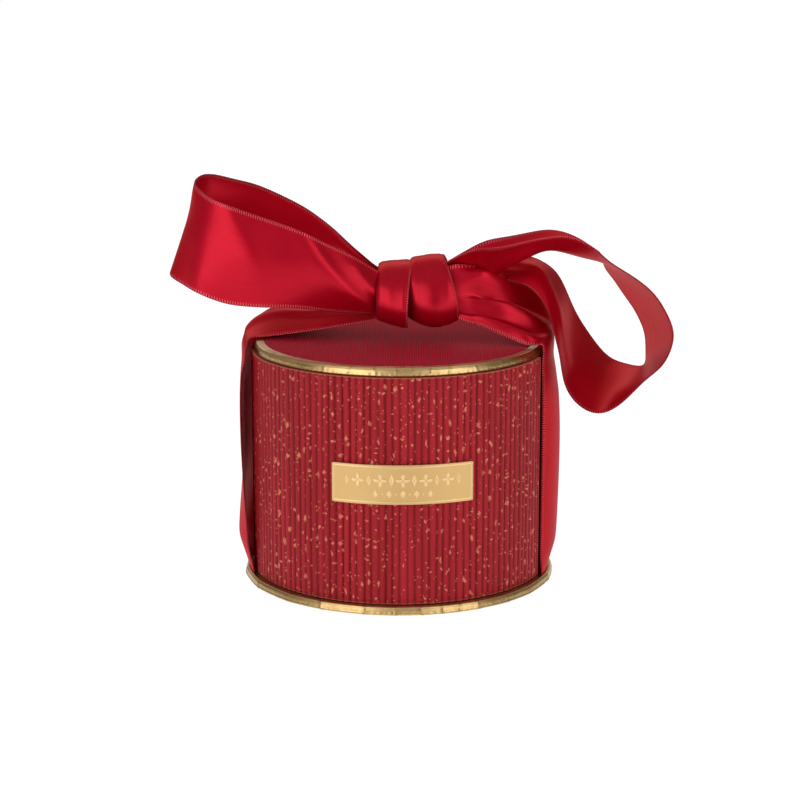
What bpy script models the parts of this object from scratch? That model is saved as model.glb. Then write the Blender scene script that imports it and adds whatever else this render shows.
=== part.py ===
"""A round gift box: greyboard base, ribbed paper wall and lift-off lid, tied with a satin ribbon bow.

The frame: origin at the centre of the base's underside, +Z up, the label on the -Y side.
A bearing is an angle seen from above, measured from the front (-Y) towards the right (+X).
"""

import math

import bmesh
import bpy
from mathutils import Vector

MM = 0.001

# Fits
GAP = 0.3 * MM
SHEET = 0.25 * MM
ROUND_SEGMENTS = 64

# Base: a disc that stands out past the wall
BASE_LEDGE = 3.3 * MM
BASE_THICKNESS = 3.0 * MM
BASE_FOIL_WIDTH = 3.8 * MM
FOIL_CHAMFER = 0.5 * MM

# Wall: a rigid tube, a ribbed sheet wrapped outside it, and a paper lining inside
BODY_RADIUS = 55.0 * MM
WALL_HEIGHT = 82.4 * MM
RIB_DEPTH = 0.5 * MM
RIB_SHEET = 1.3 * MM
RIBS_PER_TURN = 132
SHEET_START_BEARING = math.radians(70)
SHEET_OPEN_ANGLE = math.radians(40)
TUBE_WALL = 2.0 * MM
FLOOR_THICKNESS = 1.5 * MM

# Label plate
LABEL_WIDTH = 51.5 * MM
LABEL_HEIGHT = 14.4 * MM
LABEL_THICKNESS = 0.8 * MM
LABEL_CENTRE_HEIGHT = 47.5 * MM
LABEL_BEARING = math.radians(1.5)
LABEL_CORNER = 0.9 * MM
LABEL_STEPS = 24

# Lid: a disc a little smaller than the wall
LID_INSET = 1.1 * MM
LID_THICKNESS = 3.0 * MM
LID_FOIL_WIDTH = 3.7 * MM
LID_FOIL_TURN_IN = 6.5 * MM
PLUG_CLEARANCE = 0.95 * MM
PLUG_THICKNESS = 3.2 * MM

# Ribbon
RIBBON_WIDTH = 38.0 * MM
RIBBON_THICKNESS = 0.4 * MM
BOW_HEIGHT = 60.0 * MM
LEG_STAND_OFF = 5.0 * MM
FOOT_STAND_OFF = 1.4 * MM
FOOT_DEPTH = 1.65 * MM
SLOT_CLEARANCE = 0.35 * MM
LEFT_LEG_BEARING = math.radians(-93)
RIGHT_LEG_BEARING = math.radians(90.5)
BOW_RIBBON_SHARE = 0.691

# Knot: two turns of ribbon round the middle of the bow
KNOT_HALF_DEPTH = 13.0 * MM
KNOT_RING_POINTS = 28
KNOT_LEFT = -7.85 * MM
KNOT_SPLIT = 3.2 * MM
KNOT_RIGHT = 20.6 * MM
KNOT_LEFT_BOTTOM = 0.11 * BOW_HEIGHT
KNOT_LEFT_TOP = 0.467 * BOW_HEIGHT
KNOT_RIGHT_BOTTOM = 0.1 * BOW_HEIGHT
KNOT_RIGHT_TOP = 0.517 * BOW_HEIGHT
KNOT_SLANT = 4.6 * MM
KNOT_LEFT_RING_SHARES = ((0, 0.94), (0.1, 0.99), (0.5, 1), (0.9, 0.99), (1, 0.95))
KNOT_RIGHT_RING_SHARES = ((0, 0.95), (0.06, 0.99), (0.5, 1), (0.92, 0.98), (1, 0.92))

# Places worked out from the sizes above
BASE_RADIUS = BODY_RADIUS + BASE_LEDGE
LID_RADIUS = BODY_RADIUS - LID_INSET
BASE_TOP = BASE_THICKNESS
WALL_BOTTOM = BASE_TOP + GAP
WALL_TOP = WALL_BOTTOM + WALL_HEIGHT
SHEET_INNER = BODY_RADIUS - RIB_SHEET
TUBE_OUTER = SHEET_INNER - GAP
TUBE_INNER = TUBE_OUTER - TUBE_WALL
LINING_OUTER = TUBE_INNER - GAP
LINING_INNER = LINING_OUTER - SHEET
FLOOR_TOP = WALL_BOTTOM + FLOOR_THICKNESS
LID_BOTTOM = WALL_TOP + GAP
LID_TOP = LID_BOTTOM + LID_THICKNESS
PLUG_RADIUS = LINING_INNER - PLUG_CLEARANCE
PLUG_TOP = LID_BOTTOM - GAP
PLUG_BOTTOM = PLUG_TOP - PLUG_THICKNESS
FOOT_RADIUS = BODY_RADIUS + FOOT_STAND_OFF
FOOT_BOTTOM = BASE_TOP - FOOT_DEPTH

# Rows of a leg beside the wall: height as a share of the lid's top, then how far the
# front edge, the middle and the back edge stand off the wall, as shares of LEG_STAND_OFF.
LEFT_SIDE_SHARES = (
    (0.07, 0.38, 0.52, 0.40),
    (0.15, 0.68, 0.92, 0.60),
    (0.22, 0.76, 0.98, 0.60),
    (0.34, 0.90, 0.74, 0.52),
    (0.47, 1.02, 0.52, 0.44),
    (0.65, 1.12, 0.50, 0.40),
    (0.86, 1.06, 0.54, 0.40),
    (0.94, 0.76, 0.60, 0.50),
)
RIGHT_SIDE_SHARES = (
    (0.07, 0.26, 0.44, 0.28),
    (0.12, 0.22, 0.72, 0.32),
    (0.19, 0.20, 0.86, 0.36),
    (0.38, 0.18, 1.02, 0.40),
    (0.65, 0.16, 1.04, 0.40),
    (0.86, 0.16, 0.72, 0.32),
    (0.94, 0.18, 0.50, 0.30),
)

# Rows of the ribbon above the lid, from edge to edge. Each point is written as shares:
# x and y of BODY_RADIUS, and height above the lid's top of BOW_HEIGHT.
LEFT_BAND_SHARES = (
    ((-1.02, -0.15, -0.01), (-1.06, 0.15, -0.02), (-0.94, 0.49, -0.01)),
    ((-0.99, -0.04, 0.015), (-1.01, 0.28, 0.05), (-0.81, 0.60, 0.05)),
    ((-0.92, -0.02, 0.02), (-0.93, 0.33, 0.11), (-0.69, 0.60, 0.13)),
    ((-0.79, -0.03, 0.035), (-0.78, 0.29, 0.15), (-0.56, 0.51, 0.20)),
    ((-0.58, -0.05, 0.065), (-0.57, 0.19, 0.155), (-0.40, 0.38, 0.23)),
    ((-0.37, -0.07, 0.10), (-0.36, 0.11, 0.175), (-0.27, 0.24, 0.25)),
    ((-0.155, -0.09, 0.14), (-0.155, 0.04, 0.17), (-0.155, 0.15, 0.20)),
)
RIGHT_BAND_SHARES = (
    ((0.96, -0.32, 0.00), (1.02, -0.16, 0.00), (1.05, 0.02, 0.00), (1.03, 0.20, 0.00), (0.96, 0.38, 0.00)),
    ((0.93, -0.31, 0.02), (0.98, -0.16, 0.04), (1.03, 0.02, 0.06), (1.035, 0.20, 0.07), (0.97, 0.37, 0.07)),
    ((0.85, -0.30, 0.02), (0.90, -0.16, 0.05), (0.98, 0.03, 0.09), (1.02, 0.18, 0.14), (1.00, 0.33, 0.18)),
    ((0.75, -0.27, 0.05), (0.79, -0.16, 0.085), (0.87, 0.02, 0.17), (0.93, 0.13, 0.25), (0.95, 0.25, 0.32)),
    ((0.66, -0.25, 0.08), (0.68, -0.16, 0.13), (0.73, -0.01, 0.22), (0.78, 0.04, 0.31), (0.82, 0.16, 0.35)),
    ((0.54, -0.22, 0.125), (0.55, -0.15, 0.175), (0.57, -0.09, 0.255), (0.605, -0.08, 0.41), (0.66, 0.00, 0.335)),
    ((0.48, -0.195, 0.135), (0.48, -0.15, 0.195), (0.485, -0.11, 0.27), (0.49, -0.10, 0.41), (0.50, -0.06, 0.45)),
    ((0.414, -0.165, 0.15), (0.402, -0.145, 0.21), (0.389, -0.13, 0.28), (0.369, -0.11, 0.38), (0.354, -0.08, 0.46)),
)
LEFT_LOOP_SHARES = (
    ((-0.15, -0.11, 0.46), (-0.15, -0.16, 0.325), (-0.15, -0.11, 0.18)),
    ((-0.28, -0.16, 0.52), (-0.28, -0.24, 0.36), (-0.28, -0.18, 0.20)),
    ((-0.42, -0.20, 0.59), (-0.42, -0.28, 0.405), (-0.42, -0.22, 0.21)),
    ((-0.57, -0.24, 0.66), (-0.57, -0.30, 0.45), (-0.57, -0.25, 0.23)),
    ((-0.74, -0.25, 0.73), (-0.74, -0.31, 0.495), (-0.74, -0.28, 0.25)),
    ((-0.92, -0.26, 0.79), (-0.93, -0.32, 0.535), (-0.95, -0.29, 0.26)),
    ((-1.08, -0.25, 0.84), (-1.11, -0.30, 0.57), (-1.14, -0.27, 0.275)),
    ((-1.21, -0.21, 0.88), (-1.27, -0.25, 0.61), (-1.32, -0.24, 0.33)),
    ((-1.30, -0.13, 0.925), (-1.37, -0.16, 0.645), (-1.43, -0.15, 0.37)),
    ((-1.335, -0.02, 0.96), (-1.43, -0.02, 0.69), (-1.53, -0.03, 0.41)),
    ((-1.31, 0.10, 0.985), (-1.40, 0.12, 0.715), (-1.49, 0.11, 0.45)),
    ((-1.24, 0.19, 0.985), (-1.31, 0.22, 0.725), (-1.38, 0.20, 0.465)),
    ((-1.11, 0.24, 0.95), (-1.16, 0.28, 0.71), (-1.22, 0.26, 0.465)),
    ((-0.96, 0.26, 0.91), (-1.00, 0.30, 0.66), (-1.05, 0.27, 0.41)),
    ((-0.76, 0.24, 0.83), (-0.79, 0.28, 0.59), (-0.82, 0.25, 0.36)),
    ((-0.58, 0.20, 0.735), (-0.60, 0.25, 0.53), (-0.62, 0.22, 0.33)),
    ((-0.37, 0.14, 0.59), (-0.38, 0.18, 0.43), (-0.39, 0.15, 0.275)),
    ((-0.24, 0.09, 0.50), (-0.24, 0.13, 0.36), (-0.24, 0.10, 0.24)),
    ((-0.15, 0.06, 0.45), (-0.15, 0.09, 0.335), (-0.15, 0.07, 0.22)),
)
RIGHT_LOOP_SHARES = (
    ((0.35, -0.09, 0.525), (0.352, 0.02, 0.475), (0.348, 0.10, 0.49)),
    ((0.49, -0.15, 0.57), (0.51, 0.02, 0.44), (0.47, 0.16, 0.53)),
    ((0.60, -0.20, 0.59), (0.62, 0.02, 0.397), (0.60, 0.20, 0.58)),
    ((0.72, -0.24, 0.61), (0.745, 0.00, 0.45), (0.74, 0.24, 0.60)),
    ((0.847, -0.26, 0.642), (0.867, -0.02, 0.512), (0.888, 0.27, 0.622)),
    ((0.974, -0.28, 0.667), (0.994, -0.02, 0.555), (1.025, 0.29, 0.636)),
    ((1.093, -0.29, 0.676), (1.123, -0.02, 0.539), (1.154, 0.32, 0.61)),
    ((1.195, -0.30, 0.651), (1.235, 0.00, 0.508), (1.266, 0.33, 0.559)),
    ((1.292, -0.31, 0.60), (1.327, 0.00, 0.488), (1.348, 0.34, 0.508)),
    ((1.368, -0.32, 0.539), (1.389, 0.01, 0.467), (1.389, 0.345, 0.473)),
    ((1.46, -0.33, 0.483), (1.45, 0.01, 0.437), (1.419, 0.345, 0.396)),
    ((1.573, -0.33, 0.416), (1.532, 0.01, 0.376), (1.476, 0.345, 0.324)),
    ((1.68, -0.32, 0.33), (1.624, 0.01, 0.289), (1.547, 0.345, 0.232)),
    ((1.757, -0.31, 0.227), (1.695, 0.015, 0.192), (1.614, 0.345, 0.146)),
    ((1.808, -0.31, 0.12), (1.746, 0.02, 0.094), (1.665, 0.345, 0.064)),
    ((1.808, -0.31, 0.013), (1.767, 0.02, -0.013), (1.706, 0.35, -0.038)),
    ((1.746, -0.31, -0.11), (1.741, 0.02, -0.13), (1.716, 0.35, -0.156)),
    ((1.629, -0.32, -0.207), (1.665, 0.01, -0.222), (1.695, 0.345, -0.238)),
    ((1.486, -0.33, -0.335), (1.532, 0.00, -0.289), (1.578, 0.33, -0.227)),
    ((1.338, -0.33, -0.401), (1.399, -0.01, -0.304), (1.46, 0.31, -0.181)),
    ((1.20, -0.33, -0.35), (1.276, -0.02, -0.227), (1.368, 0.29, -0.095)),
    ((1.108, -0.31, -0.227), (1.184, -0.03, -0.115), (1.287, 0.27, 0.008)),
    ((1.072, -0.29, -0.064), (1.123, -0.05, 0.038), (1.21, 0.255, 0.125)),
    ((1.033, -0.24, 0.084), (1.074, -0.08, 0.186), (1.145, 0.24, 0.257)),
    ((0.979, -0.18, 0.231), (1.004, -0.06, 0.323), (1.075, 0.24, 0.373)),
    ((0.885, -0.09, 0.332), (0.931, 0.00, 0.418), (0.976, 0.22, 0.448)),
    ((0.77, 0.00, 0.37), (0.80, 0.07, 0.425), (0.865, 0.22, 0.48)),
    ((0.65, 0.085, 0.404), (0.67, 0.15, 0.425), (0.745, 0.22, 0.465)),
    ((0.53, 0.12, 0.401), (0.545, 0.165, 0.418), (0.60, 0.21, 0.44)),
    ((0.374, 0.10, 0.36), (0.37, 0.14, 0.38), (0.365, 0.18, 0.415)),
)

# Steps between one row, or one point of a row, and the next
ROW_STEPS = 2
LOOP_POINT_STEPS = 3
LEG_POINT_STEPS = 2
LEG_POINTS = 5


def clear_scene():
    """Removes every object that the file already holds."""
    for item in list(bpy.data.objects):
        bpy.data.objects.remove(item, do_unlink=True)


def material(name, colour, roughness, metallic=0.0):
    """A plain Principled material."""
    made = bpy.data.materials.new(name)
    made.use_nodes = True
    shader = made.node_tree.nodes["Principled BSDF"]
    shader.inputs["Base Color"].default_value = (*colour, 1.0)
    shader.inputs["Roughness"].default_value = roughness
    shader.inputs["Metallic"].default_value = metallic
    return made


def add_object(name, vertices, faces, surface, smooth_angle=math.radians(30)):
    """One closed mesh object with its faces turned outwards."""
    shape = bmesh.new()
    corners = [shape.verts.new(vertex) for vertex in vertices]
    for face in faces:
        shape.faces.new([corners[index] for index in face])
    bmesh.ops.recalc_face_normals(shape, faces=shape.faces)
    mesh = bpy.data.meshes.new(name)
    shape.to_mesh(mesh)
    shape.free()
    mesh.materials.append(surface)
    mesh.shade_smooth()
    mesh.set_sharp_from_angle(angle=smooth_angle)
    made = bpy.data.objects.new(name, mesh)
    bpy.context.scene.collection.objects.link(made)
    return made


def polar(bearing, radius, height):
    """The point at a bearing from the front, a distance from the axis and a height."""
    return Vector((radius * math.sin(bearing), -radius * math.cos(bearing), height))


def turned(name, profile, surface):
    """Turns a closed outline of (radius, height) points about the box's axis."""
    vertices = []
    rings = []
    for radius, height in profile:
        if radius == 0:
            rings.append([len(vertices)] * ROUND_SEGMENTS)
            vertices.append(Vector((0, 0, height)))
            continue
        rings.append([len(vertices) + step for step in range(ROUND_SEGMENTS)])
        for step in range(ROUND_SEGMENTS):
            vertices.append(polar(math.tau * step / ROUND_SEGMENTS, radius, height))
    faces = []
    for index, ring in enumerate(rings):
        after = rings[(index + 1) % len(rings)]
        for step in range(ROUND_SEGMENTS):
            turn = (step + 1) % ROUND_SEGMENTS
            face = []
            for corner in (ring[step], ring[turn], after[turn], after[step]):
                if corner not in face:
                    face.append(corner)
            if len(face) > 2:
                faces.append(face)
    return add_object(name, vertices, faces, surface)


def disc(name, radius, bottom, top, surface):
    """A flat round board or sheet."""
    return turned(name, ((0, bottom), (radius, bottom), (radius, top), (0, top)), surface)


def sleeve(name, inner, outer, bottom, top, surface):
    """A plain cylinder wall."""
    return turned(name, ((inner, bottom), (outer, bottom), (outer, top), (inner, top)), surface)


def rim_foil(name, radius, top_width, under_width, bottom, top, surface):
    """A foil strip folded round a board's edge, on both faces, with softened corners."""
    inside = radius - SHEET
    top_root = radius - top_width
    under_root = radius - under_width
    profile = (
        (under_root, bottom), (radius - FOIL_CHAMFER, bottom), (radius, bottom + FOIL_CHAMFER),
        (radius, top - FOIL_CHAMFER), (radius - FOIL_CHAMFER, top), (top_root, top),
        (top_root, top - SHEET), (inside, top - SHEET), (inside, bottom + SHEET), (under_root, bottom + SHEET),
    )
    return turned(name, profile, surface)


def swept_arc(name, sections, surface, smooth_angle=math.radians(30)):
    """Joins cross-sections along an arc; each section lists its corners in the same order."""
    vertices = [corner for section in sections for corner in section]
    size = len(sections[0])
    faces = []
    for index in range(len(sections) - 1):
        start = index * size
        for corner in range(size):
            following = (corner + 1) % size
            faces.append((start + corner, start + following, start + size + following, start + size + corner))
    last = len(vertices) - size
    faces.append(tuple(range(size)))
    faces.append(tuple(range(last, last + size)))
    return add_object(name, vertices, faces, surface, smooth_angle)


def arc_block(name, inner, outer, bottom, top, start, end, steps, surface):
    """A curved block between two radii, two heights and two bearings."""
    sections = []
    for step in range(steps + 1):
        bearing = start + (end - start) * step / steps
        sections.append([
            polar(bearing, inner, bottom), polar(bearing, outer, bottom),
            polar(bearing, outer, top), polar(bearing, inner, top),
        ])
    return swept_arc(name, sections, surface)


def wall_sheet(surface):
    """The ribbed sheet: its ribs alternate between crest and valley all the way round."""
    covered = math.tau - SHEET_OPEN_ANGLE
    halves = 2 * round(RIBS_PER_TURN * covered / math.tau)
    sections = []
    for step in range(halves + 1):
        bearing = SHEET_START_BEARING - covered * step / halves
        outer = BODY_RADIUS if step % 2 else BODY_RADIUS - RIB_DEPTH
        sections.append([
            polar(bearing, SHEET_INNER, WALL_BOTTOM), polar(bearing, outer, WALL_BOTTOM),
            polar(bearing, outer, WALL_TOP), polar(bearing, SHEET_INNER, WALL_TOP),
        ])
    return swept_arc("wall_sheet", sections, surface)


def label_plate(surface):
    """The bare plate on the front, bent to the wall, with its corners cut back."""
    inner = BODY_RADIUS + GAP
    outer = inner + LABEL_THICKNESS
    half_turn = LABEL_WIDTH / 2 / inner
    corner_turn = LABEL_CORNER / inner
    sections = []
    for step in range(LABEL_STEPS + 1):
        turn = half_turn * (2 * step / LABEL_STEPS - 1)
        into_corner = max(0, abs(turn) - half_turn + corner_turn) / corner_turn
        half_height = LABEL_HEIGHT / 2 - LABEL_CORNER * into_corner
        bearing = LABEL_BEARING + turn
        low = LABEL_CENTRE_HEIGHT - half_height
        high = LABEL_CENTRE_HEIGHT + half_height
        sections.append([
            polar(bearing, inner, low), polar(bearing, outer, low),
            polar(bearing, outer, high), polar(bearing, inner, high),
        ])
    return swept_arc("label_plate", sections, surface)


def foot_half_turn():
    """Half the angle that the ribbon's width covers where its end meets the base."""
    return RIBBON_WIDTH / 2 / FOOT_RADIUS


def cut_slots(target, surface):
    """Cuts the two slots in which the ribbon's ends are tucked."""
    half_slot = RIBBON_THICKNESS / 2 + SLOT_CLEARANCE
    half_turn = foot_half_turn() + SLOT_CLEARANCE / FOOT_RADIUS
    for side, centre in (("left", LEFT_LEG_BEARING), ("right", RIGHT_LEG_BEARING)):
        cutter = arc_block(
            target.name + "_" + side + "_slot", FOOT_RADIUS - half_slot, FOOT_RADIUS + half_slot,
            FOOT_BOTTOM - GAP, BASE_TOP + GAP, centre - half_turn, centre + half_turn, LABEL_STEPS, surface)
        cutter.hide_render = True
        cutter.display_type = "WIRE"
        cut = target.modifiers.new(side + "_slot", "BOOLEAN")
        cut.operation = "DIFFERENCE"
        cut.solver = "EXACT"
        cut.object = cutter


def spline(points, steps):
    """A smooth cubic B-spline that starts and ends on its first and last points.

    The points between are first moved out against the spline's pull, by a sixth of their
    second difference, so that it also passes close to each of them.
    """
    pushed = list(points)
    for index in range(1, len(points) - 1):
        pushed[index] = points[index] - (points[index - 1] - points[index] * 2 + points[index + 1]) / 6
    held = [pushed[0] * 2 - pushed[1], *pushed, pushed[-1] * 2 - pushed[-2]]
    result = []
    for index in range(len(points) - 1):
        a, b, c, d = held[index:index + 4]
        for step in range(steps):
            t = step / steps
            result.append((
                a * (1 - t) ** 3 + b * (3 * t ** 3 - 6 * t ** 2 + 4)
                + c * (-3 * t ** 3 + 3 * t ** 2 + 3 * t + 1) + d * t ** 3) / 6)
    result.append(points[-1].copy())
    return result


def through(points, steps):
    """A Catmull-Rom curve, which passes through each of its points."""
    held = [points[0] * 2 - points[1], *points, points[-1] * 2 - points[-2]]
    result = []
    for index in range(len(points) - 1):
        a, b, c, d = held[index:index + 4]
        for step in range(steps):
            t = step / steps
            result.append((
                b * 2 + (c - a) * t + (a * 2 - b * 5 + c * 4 - d) * t ** 2
                + (b * 3 - a - c * 3 + d) * t ** 3) / 2)
    result.append(points[-1].copy())
    return result


def above_lid(share):
    """A point of the bow from its three shares."""
    x_share, y_share, z_share = share
    return Vector((x_share * BODY_RADIUS, y_share * BODY_RADIUS, LID_TOP + z_share * BOW_HEIGHT))


def bow_rows(row_shares):
    """Rows of points above the lid, spread from their middle to the ribbon's width."""
    spread = RIBBON_WIDTH / (BOW_RIBBON_SHARE * BODY_RADIUS)
    rows = []
    for row in row_shares:
        points = [above_lid(share) for share in row]
        middle = (points[0] + points[-1]) / 2
        rows.append([middle + (point - middle) * spread for point in points])
    return rows


def side_rows(centre, side_shares):
    """Rows of a leg beside the wall, from its tucked end up to the lid, front edge first.

    The stand-off follows a parabola through its front, middle and back values.
    """
    count = LEG_POINTS
    half_turn = foot_half_turn()
    front_sign = 1 if centre < 0 else -1
    low_height = BASE_TOP + GAP
    rows = []
    foot = FOOT_STAND_OFF / LEG_STAND_OFF
    heights = [(FOOT_BOTTOM, foot, foot, foot), (low_height, foot, foot, foot)]
    heights += [(share * LID_TOP, front, middle, back) for share, front, middle, back in side_shares]
    for height, front, middle, back in heights:
        row = []
        for step in range(count):
            across = 2 * step / (count - 1) - 1
            stand_off = LEG_STAND_OFF * (
                middle + (back - front) / 2 * across + ((front + back) / 2 - middle) * across ** 2)
            bearing = centre - front_sign * half_turn * across
            row.append(polar(bearing, BODY_RADIUS + stand_off, height))
        rows.append(row)
    return rows


def surface_grid(rows, point_steps):
    """A fine grid of points through the rows of a strip."""
    columns = [spline(list(column), ROW_STEPS) for column in zip(*rows)]
    return [through(list(row), point_steps) for row in zip(*columns)]


def grid_normal(grid, row, column):
    """The unit normal of a grid of points at one of them."""
    along = grid[min(row + 1, len(grid) - 1)][column] - grid[max(row - 1, 0)][column]
    across = grid[row][min(column + 1, len(grid[0]) - 1)] - grid[row][max(column - 1, 0)]
    return along.cross(across).normalized()


def ribbon_strip(name, rows, point_steps, surface):
    """A closed strip of ribbon: the grid, thickened equally to both sides."""
    grid = surface_grid(rows, point_steps)
    length, width = len(grid), len(grid[0])
    vertices = []
    for sign in (1, -1):
        for row in range(length):
            for column in range(width):
                offset = grid_normal(grid, row, column) * (sign * RIBBON_THICKNESS / 2)
                vertices.append(grid[row][column] + offset)
    under = length * width
    faces = []
    for row in range(length - 1):
        for column in range(width - 1):
            start = row * width + column
            face = (start, start + 1, start + width + 1, start + width)
            faces.append(face)
            faces.append(tuple(under + corner for corner in reversed(face)))
    border = list(range(width - 1))
    border += [row * width + width - 1 for row in range(length - 1)]
    border += [(length - 1) * width + column for column in range(width - 1, 0, -1)]
    border += [row * width for row in range(length - 1, 0, -1)]
    for index, corner in enumerate(border):
        following = border[(index + 1) % len(border)]
        faces.append((corner, under + corner, under + following, following))
    return add_object(name, vertices, faces, surface, math.radians(60))


def knot_turn(name, left, right, bottom, top, end_shares, slant, surface):
    """One turn of ribbon round the bow's middle, as a plump sleeve closed at both ends.

    Each entry of end_shares places a ring along the turn and gives its size, as shares.
    The last rings lean by slant, because the ribbon crosses the knot at an angle.
    """
    middle_height = LID_TOP + (bottom + top) / 2
    half_height = (top - bottom) / 2
    rings = []
    for along, size in end_shares:
        ring = []
        for step in range(KNOT_RING_POINTS):
            turn = math.tau * step / KNOT_RING_POINTS
            rise = size * half_height * math.sin(turn)
            depth = size * KNOT_HALF_DEPTH * math.cos(turn)
            lean = slant * along * rise / (2 * half_height)
            ring.append(Vector((left + (right - left) * along - lean, depth, middle_height + rise)))
        rings.append(ring)
    return swept_arc(name, rings, surface, math.radians(45))


def build():
    """Makes every piece of the box, the lid and the ribbon."""
    clear_scene()
    board = material("greyboard", (0.42, 0.36, 0.30), 0.85)
    gold = material("gold_foil", (0.72, 0.50, 0.24), 0.32, 1.0)
    red_paper = material("red_paper", (0.25, 0.018, 0.028), 0.55)
    ribbed_paper = material("ribbed_paper", (0.34, 0.022, 0.035), 0.45)
    lining_paper = material("lining_paper", (0.80, 0.74, 0.66), 0.8)
    plate_gold = material("label_gold", (0.68, 0.44, 0.19), 0.38, 1.0)
    satin = material("red_satin", (0.50, 0.008, 0.03), 0.35)

    paper_radius = BASE_RADIUS - BASE_FOIL_WIDTH - GAP
    board_inset = SHEET + GAP
    edge_inset = board_inset + GAP
    disc("base_bottom_paper", paper_radius, 0, SHEET, red_paper)
    base_board = disc("base_board", BASE_RADIUS - edge_inset,
                      board_inset, BASE_THICKNESS - board_inset, board)
    base_foil = rim_foil("base_rim_foil", BASE_RADIUS, BASE_FOIL_WIDTH, BASE_FOIL_WIDTH,
                         0, BASE_THICKNESS, gold)
    disc("base_top_paper", paper_radius, BASE_TOP - SHEET, BASE_TOP, red_paper)
    cut_slots(base_board, board)
    cut_slots(base_foil, gold)

    sleeve("body_tube", TUBE_INNER, TUBE_OUTER, WALL_BOTTOM, WALL_TOP, red_paper)
    sleeve("tube_lining", LINING_INNER, LINING_OUTER, WALL_BOTTOM, WALL_TOP - GAP, lining_paper)
    disc("floor_board", LINING_INNER - GAP, WALL_BOTTOM, FLOOR_TOP, lining_paper)
    wall_sheet(ribbed_paper)
    label_plate(plate_gold)

    lid_paper_radius = LID_RADIUS - LID_FOIL_WIDTH - GAP
    disc("lid_board", LID_RADIUS - edge_inset,
         LID_BOTTOM + board_inset, LID_TOP - board_inset, board)
    rim_foil("lid_rim_foil", LID_RADIUS, LID_FOIL_WIDTH, LID_FOIL_TURN_IN, LID_BOTTOM, LID_TOP, gold)
    disc("lid_top_paper", lid_paper_radius, LID_TOP - SHEET, LID_TOP, red_paper)
    disc("lid_plug", PLUG_RADIUS, PLUG_BOTTOM, PLUG_TOP, board)
    disc("lid_plug_lining", PLUG_RADIUS - GAP, PLUG_BOTTOM - GAP - SHEET, PLUG_BOTTOM - GAP, lining_paper)

    left_band = [through(row, 2) for row in bow_rows(LEFT_BAND_SHARES)]
    right_band = bow_rows(RIGHT_BAND_SHARES)
    left_side = side_rows(LEFT_LEG_BEARING, LEFT_SIDE_SHARES)
    right_side = side_rows(RIGHT_LEG_BEARING, RIGHT_SIDE_SHARES)
    ribbon_strip("ribbon_left_leg", left_side + left_band, LEG_POINT_STEPS, satin)
    ribbon_strip("ribbon_right_leg", right_side + right_band, LEG_POINT_STEPS, satin)
    ribbon_strip("ribbon_left_loop", bow_rows(LEFT_LOOP_SHARES), LOOP_POINT_STEPS, satin)
    ribbon_strip("ribbon_right_loop", bow_rows(RIGHT_LOOP_SHARES), LOOP_POINT_STEPS, satin)
    knot_turn("knot_left_turn", KNOT_LEFT, KNOT_SPLIT - GAP / 2, KNOT_LEFT_BOTTOM, KNOT_LEFT_TOP,
              KNOT_LEFT_RING_SHARES, 0, satin)
    knot_turn("knot_right_turn", KNOT_SPLIT + GAP / 2, KNOT_RIGHT, KNOT_RIGHT_BOTTOM, KNOT_RIGHT_TOP,
              KNOT_RIGHT_RING_SHARES, KNOT_SLANT, satin)


build()
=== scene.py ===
"""Dresses a round gift box: ribbed flecked paper, pleated gold foil, a gold plate and a satin bow.

The frame is the box's own: origin at the centre of the base's underside, +Z up, the plate on
the -Y side. A bearing is an angle seen from above, measured from the front towards the right.
"""

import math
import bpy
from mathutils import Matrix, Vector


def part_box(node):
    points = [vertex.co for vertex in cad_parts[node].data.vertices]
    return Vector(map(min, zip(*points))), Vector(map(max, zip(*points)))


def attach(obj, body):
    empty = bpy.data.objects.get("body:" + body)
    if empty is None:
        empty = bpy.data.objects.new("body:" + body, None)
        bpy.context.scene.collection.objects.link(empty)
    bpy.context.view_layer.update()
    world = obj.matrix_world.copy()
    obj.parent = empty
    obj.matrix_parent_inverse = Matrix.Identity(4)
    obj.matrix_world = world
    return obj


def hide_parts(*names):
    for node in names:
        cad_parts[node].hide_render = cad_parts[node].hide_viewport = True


bl_info = {
    "name": "Round Gift Box",
    "version": (1, 0, 0),
    "blender": (4, 5, 0),
    "location": "View3D > Sidebar > Gift Box",
    "description": "Ribbed paper wall, pleated foil rims, gold plate and satin bow for a round gift box",
    "category": "Object",
}

import bpy
import numpy as np
from bpy.props import FloatProperty, FloatVectorProperty, IntProperty, PointerProperty
from bpy.types import Operator, Panel, PropertyGroup

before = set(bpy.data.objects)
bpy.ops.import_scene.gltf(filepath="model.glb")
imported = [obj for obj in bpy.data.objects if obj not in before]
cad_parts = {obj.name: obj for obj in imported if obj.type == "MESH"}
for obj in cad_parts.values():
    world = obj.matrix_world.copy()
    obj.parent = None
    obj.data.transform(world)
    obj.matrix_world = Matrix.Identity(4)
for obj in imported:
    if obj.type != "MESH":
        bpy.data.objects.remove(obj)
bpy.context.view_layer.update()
MM = 0.001


def span(node, axis):
    """The lowest and highest place of a node along an axis."""
    low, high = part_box(node)
    return low[axis], high[axis]


# Places of the solids
BASE_RADIUS = span("base_rim_foil", 1)[1]
BASE_TOP = span("base_rim_foil", 2)[1]
BODY_RADIUS = span("wall_sheet", 1)[1]
WALL_BOTTOM, WALL_TOP = span("wall_sheet", 2)
LID_RADIUS = span("lid_rim_foil", 1)[1]
LID_BOTTOM, LID_TOP = span("lid_rim_foil", 2)
LID_PAPER_RADIUS = span("lid_top_paper", 1)[1]
LABEL_BOTTOM, LABEL_TOP = span("label_plate", 2)
BOARD_GAP = 0.3 * MM

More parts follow.
